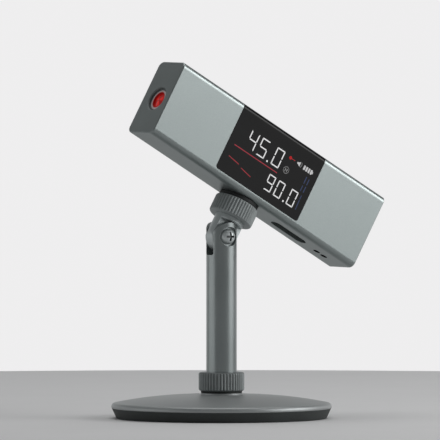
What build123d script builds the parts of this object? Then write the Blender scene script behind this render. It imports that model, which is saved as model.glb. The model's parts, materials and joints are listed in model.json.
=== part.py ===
from build123d import *
import os
from math import cos, pi, sin

# Laser spirit level on a round-base stand, in millimetres and degrees.
# The origin is the centre of the base's underside, +Z is up and the display looks along -Y.
# The level is drawn at the tilt it has in the photograph, with its laser end up.

# Stand: overall
REST_TILT = 30.0
PIVOT_HEIGHT = 69.0
SEAT_GAP = 0.05
TURNING_FIT = 0.06
PRESS_FIT = 0.02
SAME_SIZE = 1e-4

# Base
BASE_DIAMETER = 83.5
BASE_CROWN_RISE = 5.1
BASE_PAD_RISE = 0.6
BASE_RIM_HEIGHT = 1.75
BASE_RIM_ROUND = 1.4
BASE_RIM_UNDERCUT = 0.3
BASE_SEAT_DIAMETER = 18.6
BASE_CEILING = 1.5
FOOT_HEIGHT = 3.9
FOOT_TOP_INSET = 0.15
FOOT_DRAW_IN = 1.8
FOOT_PLATE = 1.2
FOOT_RING_WIDTH = 5.0
FOOT_EDGE_ROUND = 0.4
WEIGHT_DIAMETER = 64.0
WEIGHT_GAP = 0.4
BUSH_DIAMETER = 10.0
BUSH_FLANGE_DIAMETER = 14.0
BUSH_FLANGE_THICK = 1.6
BUSH_TAIL = 1.4
BASE_SCREW_PITCH_DIAMETER = 40.0
BASE_SCREW_COUNT = 3
BASE_SCREW_DIAMETER = 3.0
BASE_SCREW_HEAD = 5.4
BASE_SCREW_HEAD_HEIGHT = 1.6
BASE_SCREW_BITE = 2.2

# Lock rings, washers and studs
STUD_DIAMETER = 6.35
STUD_TIP_BREAK = 0.6
RING_DIAMETER = 17.3
RING_HEIGHT = 7.1
RING_EDGE_ROUND = 0.9
RIDGE_COUNT = 44
RIDGE_DEPTH = 0.32
RIDGE_CUT_BACK = 0.1
WASHER_DIAMETER = 15.7
LOWER_WASHER_THICK = 0.75
UPPER_WASHER_THICK = 1.45
WASHER_ROUND = 0.3
WASHER_BORE_GAP = 0.3

# Column and its fork
COLUMN_DIAMETER = 11.6
COLUMN_FOOT_BREAK = 0.5
COLUMN_SINK = 0.9
COLUMN_STUD_BITE = 8.0
FORK_RISE = 5.35
FORK_SLOT = 4.8
FORK_CLEARANCE = 1.25
FORK_FLOOR_ROUND = 0.9
SPOT_DIAMETER = 7.4
SPOT_SEAT = 4.0
PIVOT_DIAMETER = 3.0
PIVOT_HEAD_DIAMETER = 6.0
PIVOT_HEAD_HEIGHT = 2.6
PIVOT_HEAD_RIM = 0.2
CROSS_LENGTH = 3.3
CROSS_WIDTH = 0.75
CROSS_DEPTH = 1.3
NUT_ACROSS_FLATS = 5.5
NUT_HEIGHT = 2.1

# Tilt head
TONGUE_GAP = 0.1
FLANGE_GAP = 0.3
FLANGE_THICK = 1.7
HEAD_DIAMETER = 11.5
FLANGE_BREAK = 0.4
STUD_REACH = 6.0

# Level housing
LEVEL_LENGTH = 105.6
LEVEL_HEIGHT = 30.5
LEVEL_DEPTH = 17.4
SLEEVE_CORNER = 2.3
LEAST_CORNER = 0.3
SLEEVE_WALL = 1.4
SLEEVE_END_BREAK = 0.3
CAP_THICK = 1.6
CAP_SKIRT = 4.0
CAP_SKIRT_WALL = 1.0
CAP_GAP = 0.02
APERTURE_DIAMETER = 9.5
APERTURE_BREAK = 0.35

# Display
LENS_WIDTH = 42.8
LENS_SILL = 2.7
LENS_CORNER = 1.2
LENS_THICK = 1.0
LENS_GAP = 0.06
LENS_TOP_REACH = 14.0
LCD_SIDE_MARGIN = 1.4
LCD_TOP_MARGIN = 0.3
LCD_LIFT = 1.2
LCD_THICK = 1.6
BACKLIGHT_THICK = 1.2
BACKLIGHT_MARGIN = 2.0
GASKET_THICK = 0.5
GASKET_WIDTH = 0.8
GASKET_GAP = 0.2
PIN_DIAMETER = 0.5
PIN_MARGIN = 1.0
PINS_PER_SIDE = 6
PIN_TAIL = 0.6

# Power key and its switch
KEY_LENGTH = 12.0
KEY_WIDTH = 5.0
KEY_GAP = 0.15
KEY_LIP = 0.8
KEY_LIP_THICK = 0.8
KEY_LIFT = 0.1
KEY_TRAVEL = 0.4
KEY_DISH_DEPTH = 0.25
SWITCH_WIDTH = 6.0
SWITCH_DEPTH = 3.6
SWITCH_HEIGHT = 3.6
PLUNGER_WIDTH = 2.4
PLUNGER_DEPTH = 1.4
PLUNGER_GAP = 0.1
PLUNGER_SEAT = 1.2

# Inner frame and circuit board
FRAME_GAP = 0.15
WEB_THICK = 0.8
SHELF_THICK = 0.9
BOARD_THICK = 1.0
BOARD_EDGE_GAP = 1.0
BOARD_LEFT = -27.0
BOARD_SCREW_DIAMETER = 1.6
BOARD_SCREW_HEAD = 3.0
BOARD_SCREW_HEAD_HEIGHT = 0.9
BOARD_SCREW_BITE = 1.4
BOARD_SCREW_INSET = 2.2
STANDOFF_DIAMETER = 3.6
BUZZER_DIAMETER = 9.0
BUZZER_HEIGHT = 3.2
BUZZER_GAP = 0.5
BUZZER_PORT = 2.2
CHIP_LEFT = -13.0
CHIP_PITCH = 9.5
CHIP_SIZES = (7.0, 3.0, 4.0, 4.0)
CHIP_HEIGHTS = (1.0, 0.9, 0.9, 1.6)

# Battery
BATTERY_LENGTH = 44.0
BATTERY_THICK = 4.8
BATTERY_LIFT = 10.2
BATTERY_LEFT = -27.0
BATTERY_ROUND = 1.5
BATTERY_GAP = 0.25
BATTERY_TOP_GAP = 0.5
BATTERY_STOP_HEIGHT = 8.0
LEAD_DIAMETER = 0.9
LEAD_PITCH = 2.0
LEAD_RUN = 3.0
LEAD_BEND = 1.5

# Charging port
PORT_CENTRE = 25.2
PORT_LENGTH = 17.0
PORT_WIDTH = 5.4
PORT_MARGIN = 1.2
USB_WIDTH = 8.94
USB_THICK = 3.16
USB_DEPTH = 7.0
USB_SHELL_WALL = 0.3
USB_SINK = 1.7
USB_TONGUE_WIDTH = 6.6
USB_TONGUE_THICK = 0.7
USB_BACK = 1.2
SOLDER_GAP = 0.05

# Lanyard eye
LANYARD_HOLE = 2.4
LANYARD_PITCH = 3.7
LANYARD_INSET = 10.7
ANCHOR_WALL = 1.3
ANCHOR_WIDTH = 6.0
ANCHOR_BAR = 1.6
ANCHOR_ROOF = 1.2
ANCHOR_BORE_GAP = 0.2

# Tripod thread insert
INSERT_OFFSET = 0.7
INSERT_DIAMETER = 8.2
INSERT_HEIGHT = 8.0
INSERT_FLANGE_DIAMETER = 10.8
INSERT_FLANGE_THICK = 1.0

# Laser module
LASER_DROP = 0.55
LASER_OFFSET = 0.6
LASER_SINK = 1.0
LASER_DIAMETER = 8.2
LASER_LENGTH = 19.8
LINE_LENS_DIAMETER = 6.1
LINE_LENS_THICK = 2.4
LINE_LENS_SINK = 0.2
LINE_LENS_CROWN = 0.5
COLLIMATOR_DIAMETER = 5.0
COLLIMATOR_THICK = 2.2
COLLIMATOR_PLACE = 7.0
DIODE_FLANGE_DIAMETER = 5.6
DIODE_FLANGE_THICK = 1.2
DIODE_CAN_DIAMETER = 3.6
DIODE_CAN_HEIGHT = 2.4
DIODE_PINS = 3
DIODE_PIN_DIAMETER = 0.45
DIODE_PIN_LENGTH = 3.6
DIODE_PIN_PITCH_DIAMETER = 2.0
DRIVER_THICK = 0.8
DRIVER_GAP = 0.2
CLAMP_LENGTH = 6.0
CLAMP_WALL = 1.2
CRADLE_RIB = 2.0
CRADLE_MARGIN = 2.0
CRADLE_FLOOR = 1.2
CRADLE_PAD = 3.5
LASER_SEAT_GAP = 0.05
CLAMP_SCREW_DIAMETER = 1.2
CLAMP_SCREW_HEAD = 1.6
CLAMP_SCREW_HEAD_HEIGHT = 0.7
CLAMP_SCREW_BITE = 2.5

# Heights up the stand
CROWN_HEIGHT = FOOT_HEIGHT + BASE_CROWN_RISE
CEILING_HEIGHT = FOOT_HEIGHT + BASE_CEILING
PAD_HEIGHT = CROWN_HEIGHT + BASE_PAD_RISE
LOWER_RING_HEIGHT = PAD_HEIGHT + SEAT_GAP + LOWER_WASHER_THICK
LOWER_RING_TOP = LOWER_RING_HEIGHT + RING_HEIGHT
RING_SEAT_HEIGHT = LOWER_RING_TOP - COLUMN_SINK
SHOULDER_HEIGHT = RING_SEAT_HEIGHT + SEAT_GAP
FORK_DEPTH = HEAD_DIAMETER / 2 + FORK_CLEARANCE

# Heights along the tilt head's stud, from the pivot
FLANGE_HEIGHT = FORK_RISE + FLANGE_GAP
UPPER_RING_HEIGHT = FLANGE_HEIGHT + FLANGE_THICK + SEAT_GAP
UPPER_WASHER_HEIGHT = UPPER_RING_HEIGHT + RING_HEIGHT
LEVEL_SEAT = UPPER_WASHER_HEIGHT + UPPER_WASHER_THICK + SEAT_GAP

# Places in the level, from the middle of its underside
LEFT_END = -LEVEL_LENGTH / 2
RIGHT_END = LEVEL_LENGTH / 2
FRONT = -LEVEL_DEPTH / 2
INNER_FRONT = FRONT + SLEEVE_WALL
INNER_BACK = -INNER_FRONT
INNER_ROOF = LEVEL_HEIGHT - SLEEVE_WALL
LENS_BACK = FRONT + LENS_THICK
LCD_BACK = LENS_BACK + LCD_THICK
LIGHT_BACK = LCD_BACK + BACKLIGHT_THICK
WEB_BACK = LIGHT_BACK + WEB_THICK
LCD_FLOOR = LENS_SILL + LCD_LIFT
LCD_TOP = LEVEL_HEIGHT - SLEEVE_CORNER - LCD_TOP_MARGIN - GASKET_WIDTH - GASKET_GAP
LCD_SIDE = LENS_WIDTH / 2 - LCD_SIDE_MARGIN - GASKET_WIDTH - GASKET_GAP
PIN_PITCH = (LCD_SIDE - SWITCH_WIDTH / 2 - PIN_MARGIN) / PINS_PER_SIDE
FRAME_FLOOR = SLEEVE_WALL + FRAME_GAP
FRAME_ROOF = INNER_ROOF - FRAME_GAP
BOARD_BACK = -USB_THICK / 2 - SOLDER_GAP
BOARD_FRONT = BOARD_BACK - BOARD_THICK
BOARD_TOP = INNER_ROOF - BOARD_EDGE_GAP - KEY_LIP_THICK
PORT_PLATE_TOP = FRAME_FLOOR + SHELF_THICK
BOARD_FLOOR = PORT_PLATE_TOP + FRAME_GAP
BOARD_STEP = BATTERY_LIFT + FRAME_GAP
BOARD_MIDDLE = (BOARD_STEP + BOARD_TOP) / 2
LANYARD_CENTRE = RIGHT_END - LANYARD_INSET
ANCHOR_LENGTH = LANYARD_PITCH + LANYARD_HOLE + 2 * ANCHOR_WALL
ANCHOR_BORE = LANYARD_HOLE + 2 * ANCHOR_BORE_GAP
ANCHOR_BAR_TOP = SLEEVE_WALL + ANCHOR_BAR
FRAME_LEFT = LEFT_END + CAP_THICK + CAP_SKIRT + FRAME_GAP
FRAME_RIGHT = LANYARD_CENTRE - ANCHOR_LENGTH / 2 - FRAME_GAP
BOARD_RIGHT = FRAME_RIGHT - BOARD_EDGE_GAP
BATTERY_BACK = INNER_BACK - BATTERY_GAP
BATTERY_FRONT = BATTERY_BACK - BATTERY_THICK
BATTERY_RIGHT = BATTERY_LEFT + BATTERY_LENGTH
LASER_FRONT = LEFT_END + LASER_SINK
LASER_REAR = LASER_FRONT + LASER_LENGTH
LASER_HEIGHT = LEVEL_HEIGHT / 2 - LASER_DROP
LASER_SIDE = -LASER_OFFSET
DRIVER_SIZE = 2 * (LASER_SIDE - WEB_BACK - FRAME_GAP)
KEY_PLACE = BOARD_BACK + SWITCH_DEPTH / 2
KEY_UNDERSIDE = LEVEL_HEIGHT - LENS_THICK - KEY_LIFT - KEY_LIP_THICK
SWITCH_FLOOR = BOARD_TOP - SWITCH_HEIGHT
BATTERY_TOP = KEY_UNDERSIDE - KEY_TRAVEL - BATTERY_TOP_GAP
LEAD_TURN = BATTERY_RIGHT + BATTERY_GAP + SHELF_THICK + LEAD_RUN
BUZZER_PLACE = LEAD_TURN + LEAD_DIAMETER / 2 + BUZZER_GAP + BUZZER_DIAMETER / 2


def slab(x0, x1, y0, y1, z0, z1):
    """Box between two corners."""
    return Pos((x0 + x1) / 2, (y0 + y1) / 2, (z0 + z1) / 2) * Box(x1 - x0, y1 - y0, z1 - z0)


def rod(diameter, start, end):
    """Round bar between two points."""
    reach = Vector(*end) - Vector(*start)
    return extrude(Plane(origin=start, z_dir=reach) * Circle(diameter / 2), reach.length)


def turned(*outline):
    """Solid turned about Z from lines given as radius and height."""
    return revolve(Plane.XZ * make_face(outline), Axis.Z)


def circles(solid, diameter):
    """Round edges of one diameter, lowest first."""
    rims = solid.edges().filter_by(GeomType.CIRCLE)
    return rims.filter_by(lambda rim: abs(rim.radius - diameter / 2) < SAME_SIZE).sort_by(Axis.Z)


def tilted(solid):
    """Move a solid from the pivot's own frame to its place on the stand."""
    return Pos(0, 0, PIVOT_HEIGHT) * Rot(0, REST_TILT, 0) * solid


def on_level(solid):
    """Move a solid from the level's own frame to its place on the stand."""
    return tilted(Pos(INSERT_OFFSET, 0, LEVEL_SEAT) * solid)


def at_insert(solid):
    """Move a solid from the stud's axis to its place in the level's own frame."""
    return Pos(-INSERT_OFFSET, 0, 0) * solid


def base_screw_places():
    return PolarLocations(BASE_SCREW_PITCH_DIAMETER / 2, BASE_SCREW_COUNT)


def base_dome():
    """Cast base with a shallow dome, a pad for the washer, a rounded rim and a pocket for the weight."""
    rim_top = FOOT_HEIGHT + BASE_RIM_HEIGHT
    pad = WASHER_DIAMETER / 2
    seat = BASE_SEAT_DIAMETER / 2
    rim = BASE_DIAMETER / 2
    dome = turned(
        Polyline((0, PAD_HEIGHT), (0, FOOT_HEIGHT), (rim, FOOT_HEIGHT), (rim, rim_top)),
        TangentArc((seat, CROWN_HEIGHT), (rim, rim_top), tangent=(1, 0)),
        Polyline((seat, CROWN_HEIGHT), (pad, CROWN_HEIGHT), (pad, PAD_HEIGHT), (0, PAD_HEIGHT)),
    )
    dome = fillet(circles(dome, BASE_DIAMETER)[-1], BASE_RIM_ROUND)
    dome = chamfer(circles(dome, BASE_DIAMETER)[0], BASE_RIM_UNDERCUT, FOOT_TOP_INSET)
    pocket = WEIGHT_DIAMETER + 2 * WEIGHT_GAP
    dome -= rod(pocket, (0, 0, FOOT_HEIGHT), (0, 0, CEILING_HEIGHT))
    dome -= rod(BUSH_DIAMETER + 2 * PRESS_FIT, (0, 0, CEILING_HEIGHT), (0, 0, PAD_HEIGHT))
    bite = CEILING_HEIGHT + BASE_SCREW_BITE + SEAT_GAP
    hole = rod(BASE_SCREW_DIAMETER + 2 * PRESS_FIT, (0, 0, CEILING_HEIGHT), (0, 0, bite))
    for place in base_screw_places():
        dome -= place * hole
    return dome


def base_weight():
    """Steel disc in the base's pocket, with counterbores for its screws."""
    weight = rod(WEIGHT_DIAMETER, (0, 0, FOOT_PLATE), (0, 0, CEILING_HEIGHT))
    weight -= rod(BUSH_FLANGE_DIAMETER + 2 * WEIGHT_GAP, (0, 0, FOOT_PLATE), (0, 0, CEILING_HEIGHT))
    head_top = FOOT_PLATE + SEAT_GAP + BASE_SCREW_HEAD_HEIGHT
    shank = rod(BASE_SCREW_DIAMETER + 2 * TURNING_FIT, (0, 0, FOOT_PLATE), (0, 0, CEILING_HEIGHT))
    counterbore = rod(BASE_SCREW_HEAD + 2 * WEIGHT_GAP, (0, 0, FOOT_PLATE), (0, 0, head_top))
    for place in base_screw_places():
        weight -= place * (shank + counterbore)
    return weight


def base_screws():
    """Screws that hold the weight up into the base."""
    head_floor = FOOT_PLATE + SEAT_GAP
    head_top = head_floor + BASE_SCREW_HEAD_HEIGHT
    screw = rod(BASE_SCREW_HEAD, (0, 0, head_floor), (0, 0, head_top))
    screw += rod(BASE_SCREW_DIAMETER, (0, 0, head_top), (0, 0, CEILING_HEIGHT + BASE_SCREW_BITE))
    return Compound(children=[place * screw for place in base_screw_places()])


def base_bush():
    """Flanged threaded bush that takes the column's stud."""
    flange_floor = CEILING_HEIGHT - BUSH_FLANGE_THICK
    bush = rod(BUSH_DIAMETER, (0, 0, flange_floor - BUSH_TAIL), (0, 0, PAD_HEIGHT - SEAT_GAP))
    bush += rod(BUSH_FLANGE_DIAMETER, (0, 0, flange_floor), (0, 0, CEILING_HEIGHT))
    return bush - rod(STUD_DIAMETER + 2 * TURNING_FIT, (0, 0, 0), (0, 0, PAD_HEIGHT))


def base_foot():
    """Rubber foot, drawn in towards the table, with a plate that closes the pocket."""
    top = BASE_DIAMETER / 2 - FOOT_TOP_INSET
    ring = top - FOOT_RING_WIDTH
    bottom = top - FOOT_DRAW_IN
    foot = turned(
        Polyline((0, 0), (bottom, 0), (top, FOOT_HEIGHT), (ring, FOOT_HEIGHT), (ring, FOOT_PLATE),
                 (0, FOOT_PLATE), (0, 0))
    )
    return fillet(circles(foot, 2 * bottom), FOOT_EDGE_ROUND)


def lock_ring():
    """Straight-knurled ring with rounded edges, standing on its own underside."""
    blank = rod(RING_DIAMETER, (0, 0, 0), (0, 0, RING_HEIGHT))
    blank = fillet(circles(blank, RING_DIAMETER), RING_EDGE_ROUND)
    crest = RING_DIAMETER / 2 + RIDGE_CUT_BACK
    valley = RING_DIAMETER / 2 - RIDGE_DEPTH
    outline = []
    for step in range(2 * RIDGE_COUNT):
        radius = valley if step % 2 else crest
        turn = pi * step / RIDGE_COUNT
        outline.append((radius * cos(turn), radius * sin(turn)))
    knurl = extrude(make_face(Polyline(*outline, close=True)), RING_HEIGHT)
    return (knurl & blank) - rod(STUD_DIAMETER + 2 * TURNING_FIT, (0, 0, 0), (0, 0, RING_HEIGHT))


def lower_lock_ring():
    """Lock ring at the column's foot, with a counterbore that the column stands in."""
    seat = rod(COLUMN_DIAMETER + 2 * TURNING_FIT, (0, 0, RING_SEAT_HEIGHT), (0, 0, LOWER_RING_TOP))
    return Pos(0, 0, LOWER_RING_HEIGHT) * lock_ring() - seat


def ring_washer(thick):
    """Rubber washer, standing on its own underside."""
    washer = rod(WASHER_DIAMETER, (0, 0, 0), (0, 0, thick))
    washer = fillet(circles(washer, WASHER_DIAMETER), WASHER_ROUND)
    return washer - rod(STUD_DIAMETER + 2 * WASHER_BORE_GAP, (0, 0, 0), (0, 0, thick))


def column():
    """Round post with a forked, rounded top for the tilt head's tongue."""
    radius = COLUMN_DIAMETER / 2
    top = PIVOT_HEIGHT + FORK_RISE
    post = rod(COLUMN_DIAMETER, (0, 0, SHOULDER_HEIGHT), (0, 0, top))
    post = chamfer(circles(post, COLUMN_DIAMETER)[0], COLUMN_FOOT_BREAK)
    round_top = rod(COLUMN_DIAMETER, (0, -radius, top - radius), (0, radius, top - radius))
    post &= round_top + slab(-radius, radius, -radius, radius, SHOULDER_HEIGHT, top - radius)

    slot_height = FORK_DEPTH + FORK_RISE + 2 * FORK_FLOOR_ROUND
    slot_centre = PIVOT_HEIGHT - FORK_DEPTH + slot_height / 2
    slot_plane = Plane(origin=(-radius, 0, slot_centre), x_dir=(0, 1, 0), z_dir=(1, 0, 0))
    slot = extrude(slot_plane * RectangleRounded(FORK_SLOT, slot_height, FORK_FLOOR_ROUND), 2 * radius)
    post -= slot
    post -= rod(PIVOT_DIAMETER + 2 * PRESS_FIT, (0, -radius, PIVOT_HEIGHT), (0, radius, PIVOT_HEIGHT))
    for side in (-1, 1):
        seat = (0, side * SPOT_SEAT, PIVOT_HEIGHT)
        post -= rod(SPOT_DIAMETER, seat, (0, side * radius, PIVOT_HEIGHT))
    bore_top = SHOULDER_HEIGHT + COLUMN_STUD_BITE
    return post - rod(STUD_DIAMETER + 2 * PRESS_FIT, (0, 0, SHOULDER_HEIGHT), (0, 0, bore_top))


def column_stud():
    """Threaded stud that joins the column to the base."""
    bottom = CEILING_HEIGHT - BUSH_FLANGE_THICK - BUSH_TAIL + SEAT_GAP
    stud = rod(STUD_DIAMETER, (0, 0, bottom), (0, 0, SHOULDER_HEIGHT + COLUMN_STUD_BITE - SEAT_GAP))
    return chamfer(circles(stud, STUD_DIAMETER)[0], STUD_TIP_BREAK)


def pivot_screw():
    """Pan-head screw along the pivot, with a cross recess, its head on the display's side."""
    head_radius = PIVOT_HEAD_DIAMETER / 2
    end = SPOT_SEAT + NUT_HEIGHT
    head = turned(
        Polyline((0, PIVOT_HEAD_HEIGHT), (0, 0), (head_radius, 0), (head_radius, PIVOT_HEAD_RIM)),
        TangentArc((0, PIVOT_HEAD_HEIGHT), (head_radius, PIVOT_HEAD_RIM), tangent=(1, 0)),
    )
    recess_floor = PIVOT_HEAD_HEIGHT - CROSS_DEPTH
    for length, width in ((CROSS_LENGTH, CROSS_WIDTH), (CROSS_WIDTH, CROSS_LENGTH)):
        head -= Pos(0, 0, recess_floor + CROSS_DEPTH / 2) * Box(length, width, CROSS_DEPTH)
    head = Pos(0, -SPOT_SEAT, PIVOT_HEIGHT) * Rot(90, 0, 0) * head
    shank = rod(PIVOT_DIAMETER, (0, -SPOT_SEAT, PIVOT_HEIGHT), (0, end, PIVOT_HEIGHT))
    return head + shank


def pivot_nut():
    """Hexagon nut in the spot face behind the fork."""
    plane = Plane(origin=(0, SPOT_SEAT, PIVOT_HEIGHT), x_dir=(1, 0, 0), z_dir=(0, 1, 0))
    hexagon = RegularPolygon(NUT_ACROSS_FLATS / 2, 6, major_radius=False)
    nut = extrude(plane * hexagon, NUT_HEIGHT)
    end = (0, SPOT_SEAT + NUT_HEIGHT, PIVOT_HEIGHT)
    return nut - rod(PIVOT_DIAMETER + 2 * PRESS_FIT, (0, SPOT_SEAT, PIVOT_HEIGHT), end)


def tilt_head():
    """Turned head with a milled tongue below its flange and a stud on top, in the pivot's frame."""
    half = FORK_SLOT / 2 - TONGUE_GAP
    flange_top = FLANGE_HEIGHT + FLANGE_THICK
    rim = HEAD_DIAMETER / 2
    tongue = rod(HEAD_DIAMETER, (0, -half, 0), (0, half, 0))
    tongue += slab(-rim, rim, -half, half, 0, flange_top)
    tongue &= rod(HEAD_DIAMETER, (0, 0, -rim), (0, 0, flange_top))
    flange = turned(
        Polyline((0, FLANGE_HEIGHT), (rim - FLANGE_BREAK, FLANGE_HEIGHT), (rim, FLANGE_HEIGHT + FLANGE_BREAK),
                 (rim, flange_top), (0, flange_top), (0, FLANGE_HEIGHT))
    )
    stud = rod(STUD_DIAMETER, (0, 0, flange_top), (0, 0, LEVEL_SEAT + STUD_REACH))
    stud = chamfer(circles(stud, STUD_DIAMETER)[-1], STUD_TIP_BREAK)
    head = tongue + flange + stud
    return head - rod(PIVOT_DIAMETER + 2 * TURNING_FIT, (0, -half, 0), (0, half, 0))


def level_bar(inset, x0, x1):
    """Solid bar with the level's outline, drawn in by an inset."""
    corner = max(SLEEVE_CORNER - inset, LEAST_CORNER)
    plane = Plane(origin=(x0, 0, LEVEL_HEIGHT / 2), x_dir=(0, 1, 0), z_dir=(1, 0, 0))
    outline = RectangleRounded(LEVEL_DEPTH - 2 * inset, LEVEL_HEIGHT - 2 * inset, corner)
    return extrude(plane * outline, x1 - x0)


def display_window(gap):
    """Opening for the lens in the front and top walls, drawn in by a gap."""
    width = LENS_WIDTH - 2 * gap
    reach = SLEEVE_WALL + SLEEVE_CORNER
    sill = LENS_SILL + gap
    height = LEVEL_HEIGHT + 2 * LENS_CORNER - sill
    plane = Plane(origin=(0, FRONT - reach, sill + height / 2), x_dir=(1, 0, 0), z_dir=(0, 1, 0))
    front = extrude(plane * RectangleRounded(width, height, LENS_CORNER), 2 * reach)
    back_edge = FRONT + LENS_TOP_REACH - gap
    depth = LENS_TOP_REACH + 2 * LENS_CORNER
    top_plane = Pos(0, back_edge - depth / 2, LEVEL_HEIGHT - reach)
    top = extrude(top_plane * RectangleRounded(width, depth, LENS_CORNER), 2 * reach)
    return front + top


def upright_slot(length, width, z0, z1):
    """Round-ended bar standing along the level's height."""
    return extrude(Pos(0, 0, z0) * SlotOverall(length, width), z1 - z0)


def lanyard_places():
    half = LANYARD_PITCH / 2
    return (LANYARD_CENTRE - half, LANYARD_CENTRE + half)


def level_sleeve():
    """Drawn sleeve with rounded long edges, the display window and the holes in its underside."""
    sleeve = level_bar(0, LEFT_END, RIGHT_END)
    ends = sleeve.faces().filter_by(Axis.X).edges()
    sleeve = chamfer(ends, SLEEVE_END_BREAK)
    sleeve -= level_bar(SLEEVE_WALL, LEFT_END, RIGHT_END)
    sleeve -= display_window(0)
    sleeve -= at_insert(rod(INSERT_DIAMETER + 2 * PRESS_FIT, (0, 0, 0), (0, 0, SLEEVE_WALL)))
    sleeve -= Pos(PORT_CENTRE, 0, 0) * upright_slot(PORT_LENGTH, PORT_WIDTH, 0, SLEEVE_WALL)
    for x in lanyard_places():
        sleeve -= rod(LANYARD_HOLE, (x, 0, 0), (x, 0, SLEEVE_WALL))
    return sleeve


def end_cap(end, inward):
    """Plug for one end of the sleeve: a plate with a skirt that points inward."""
    inset = SLEEVE_WALL + CAP_GAP
    inner = end + inward * CAP_THICK
    tail = inner + inward * CAP_SKIRT
    cap = level_bar(inset, min(end, tail), max(end, tail))
    return cap - level_bar(inset + CAP_SKIRT_WALL, min(inner, tail), max(inner, tail))


def on_laser(diameter, x0, x1):
    """Round bar on the laser's axis, between two places along the level."""
    return rod(diameter, (x0, LASER_SIDE, LASER_HEIGHT), (x1, LASER_SIDE, LASER_HEIGHT))


def left_end_cap():
    """End plug with the laser opening, counterbored down to the barrel's front."""
    cap = end_cap(LEFT_END, 1)
    cap -= on_laser(APERTURE_DIAMETER, LEFT_END, LASER_FRONT)
    cap -= on_laser(LASER_DIAMETER + 2 * TURNING_FIT, LASER_FRONT, LEFT_END + CAP_THICK)
    rim = circles(cap, APERTURE_DIAMETER).sort_by(Axis.X)[0]
    return chamfer(rim, APERTURE_BREAK)


def right_end_cap():
    """Plain end plug, cut away round the lanyard anchor."""
    return end_cap(RIGHT_END, -1) - anchor_block(FRAME_GAP)


def display_lens():
    """Tinted lens bent over the top front edge, flush with the sleeve, with the key's hole."""
    half = LENS_WIDTH / 2
    lens = level_bar(0, -half, half) - level_bar(LENS_THICK, -half, half)
    lens &= display_window(LENS_GAP)
    key_hole = upright_slot(KEY_LENGTH, KEY_WIDTH, LEVEL_HEIGHT - LENS_THICK, LEVEL_HEIGHT)
    return lens - Pos(0, KEY_PLACE, 0) * key_hole


def display_border(y0, y1):
    """Rectangular border round the display, between two depths."""
    inner = LCD_SIDE + GASKET_GAP
    outer = inner + GASKET_WIDTH
    floor = LCD_FLOOR - GASKET_GAP
    roof = LCD_TOP + GASKET_GAP
    border = slab(-outer, outer, y0, y1, floor - GASKET_WIDTH, roof + GASKET_WIDTH)
    return border - slab(-inner, inner, y0, y1, floor, roof)


def lens_gasket():
    """Foam border between the lens and the frame."""
    return display_border(LENS_BACK, LENS_BACK + GASKET_THICK)


def lcd_panel():
    return slab(-LCD_SIDE, LCD_SIDE, LENS_BACK, LCD_BACK, LCD_FLOOR, LCD_TOP)


def backlight():
    """Light panel behind the display, short of its top edge to leave room for the pins."""
    top = LCD_TOP - BACKLIGHT_MARGIN
    return slab(-LCD_SIDE, LCD_SIDE, LCD_BACK, LIGHT_BACK, LCD_FLOOR, top)


def pin_places():
    """Distances of the display's pins from the middle, both sides of the key switch."""
    first = SWITCH_WIDTH / 2 + PIN_PITCH / 2
    steps = [first + PIN_PITCH * step for step in range(PINS_PER_SIDE)]
    return [side * step for side in (-1, 1) for step in steps]


def pin_height():
    return LCD_TOP - BACKLIGHT_MARGIN / 2


def display_pins():
    """Pins from the display's top edge through the board."""
    z = pin_height()
    tail = BOARD_BACK + PIN_TAIL
    return Compound(children=[rod(PIN_DIAMETER, (x, LCD_BACK, z), (x, tail, z)) for x in pin_places()])


def board_screw_places():
    """Places of the board's screws, as distance along the level and height."""
    left = BOARD_LEFT + BOARD_SCREW_INSET
    right = BOARD_RIGHT - BOARD_SCREW_INSET
    low = BOARD_FLOOR + BOARD_SCREW_INSET
    step = BOARD_STEP + BOARD_SCREW_INSET
    return ((left, step), (left, BOARD_TOP - BOARD_SCREW_INSET),
            (right, low), (right, BOARD_TOP - BOARD_SCREW_INSET))


def laser_room(gap):
    """Space the laser barrel takes, with a gap all round."""
    return on_laser(LASER_DIAMETER + 2 * gap, FRAME_LEFT, LASER_REAR)


def laser_cradle():
    """Two ribs and a floor that carry the laser barrel."""
    side = INNER_BACK - FRAME_GAP
    floor = slab(FRAME_LEFT, LASER_REAR, -side, side, FRAME_FLOOR, FRAME_FLOOR + CRADLE_FLOOR)
    cradle = floor
    for x in (FRAME_LEFT + CRADLE_MARGIN, LASER_REAR - CRADLE_MARGIN - CRADLE_RIB):
        cradle += slab(x, x + CRADLE_RIB, -side, side, FRAME_FLOOR, LASER_HEIGHT)
    block_end = FRAME_LEFT + CRADLE_MARGIN + CLAMP_LENGTH
    pad_floor = LASER_HEIGHT - CRADLE_PAD
    pad = slab(FRAME_LEFT + CRADLE_MARGIN, block_end, -side, side, pad_floor, LASER_HEIGHT)
    return cradle + pad - laser_room(LASER_SEAT_GAP)


def clamp_screw_places():
    """Places of the clamp's screws, as distance along the level and depth."""
    x = FRAME_LEFT + CRADLE_MARGIN
    inner = LASER_SIDE + LASER_DIAMETER / 2 + LASER_SEAT_GAP + CLAMP_WALL
    y = (inner + INNER_BACK - FRAME_GAP) / 2
    return ((x + CLAMP_LENGTH / 4, y), (x + 3 * CLAMP_LENGTH / 4, y))


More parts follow.
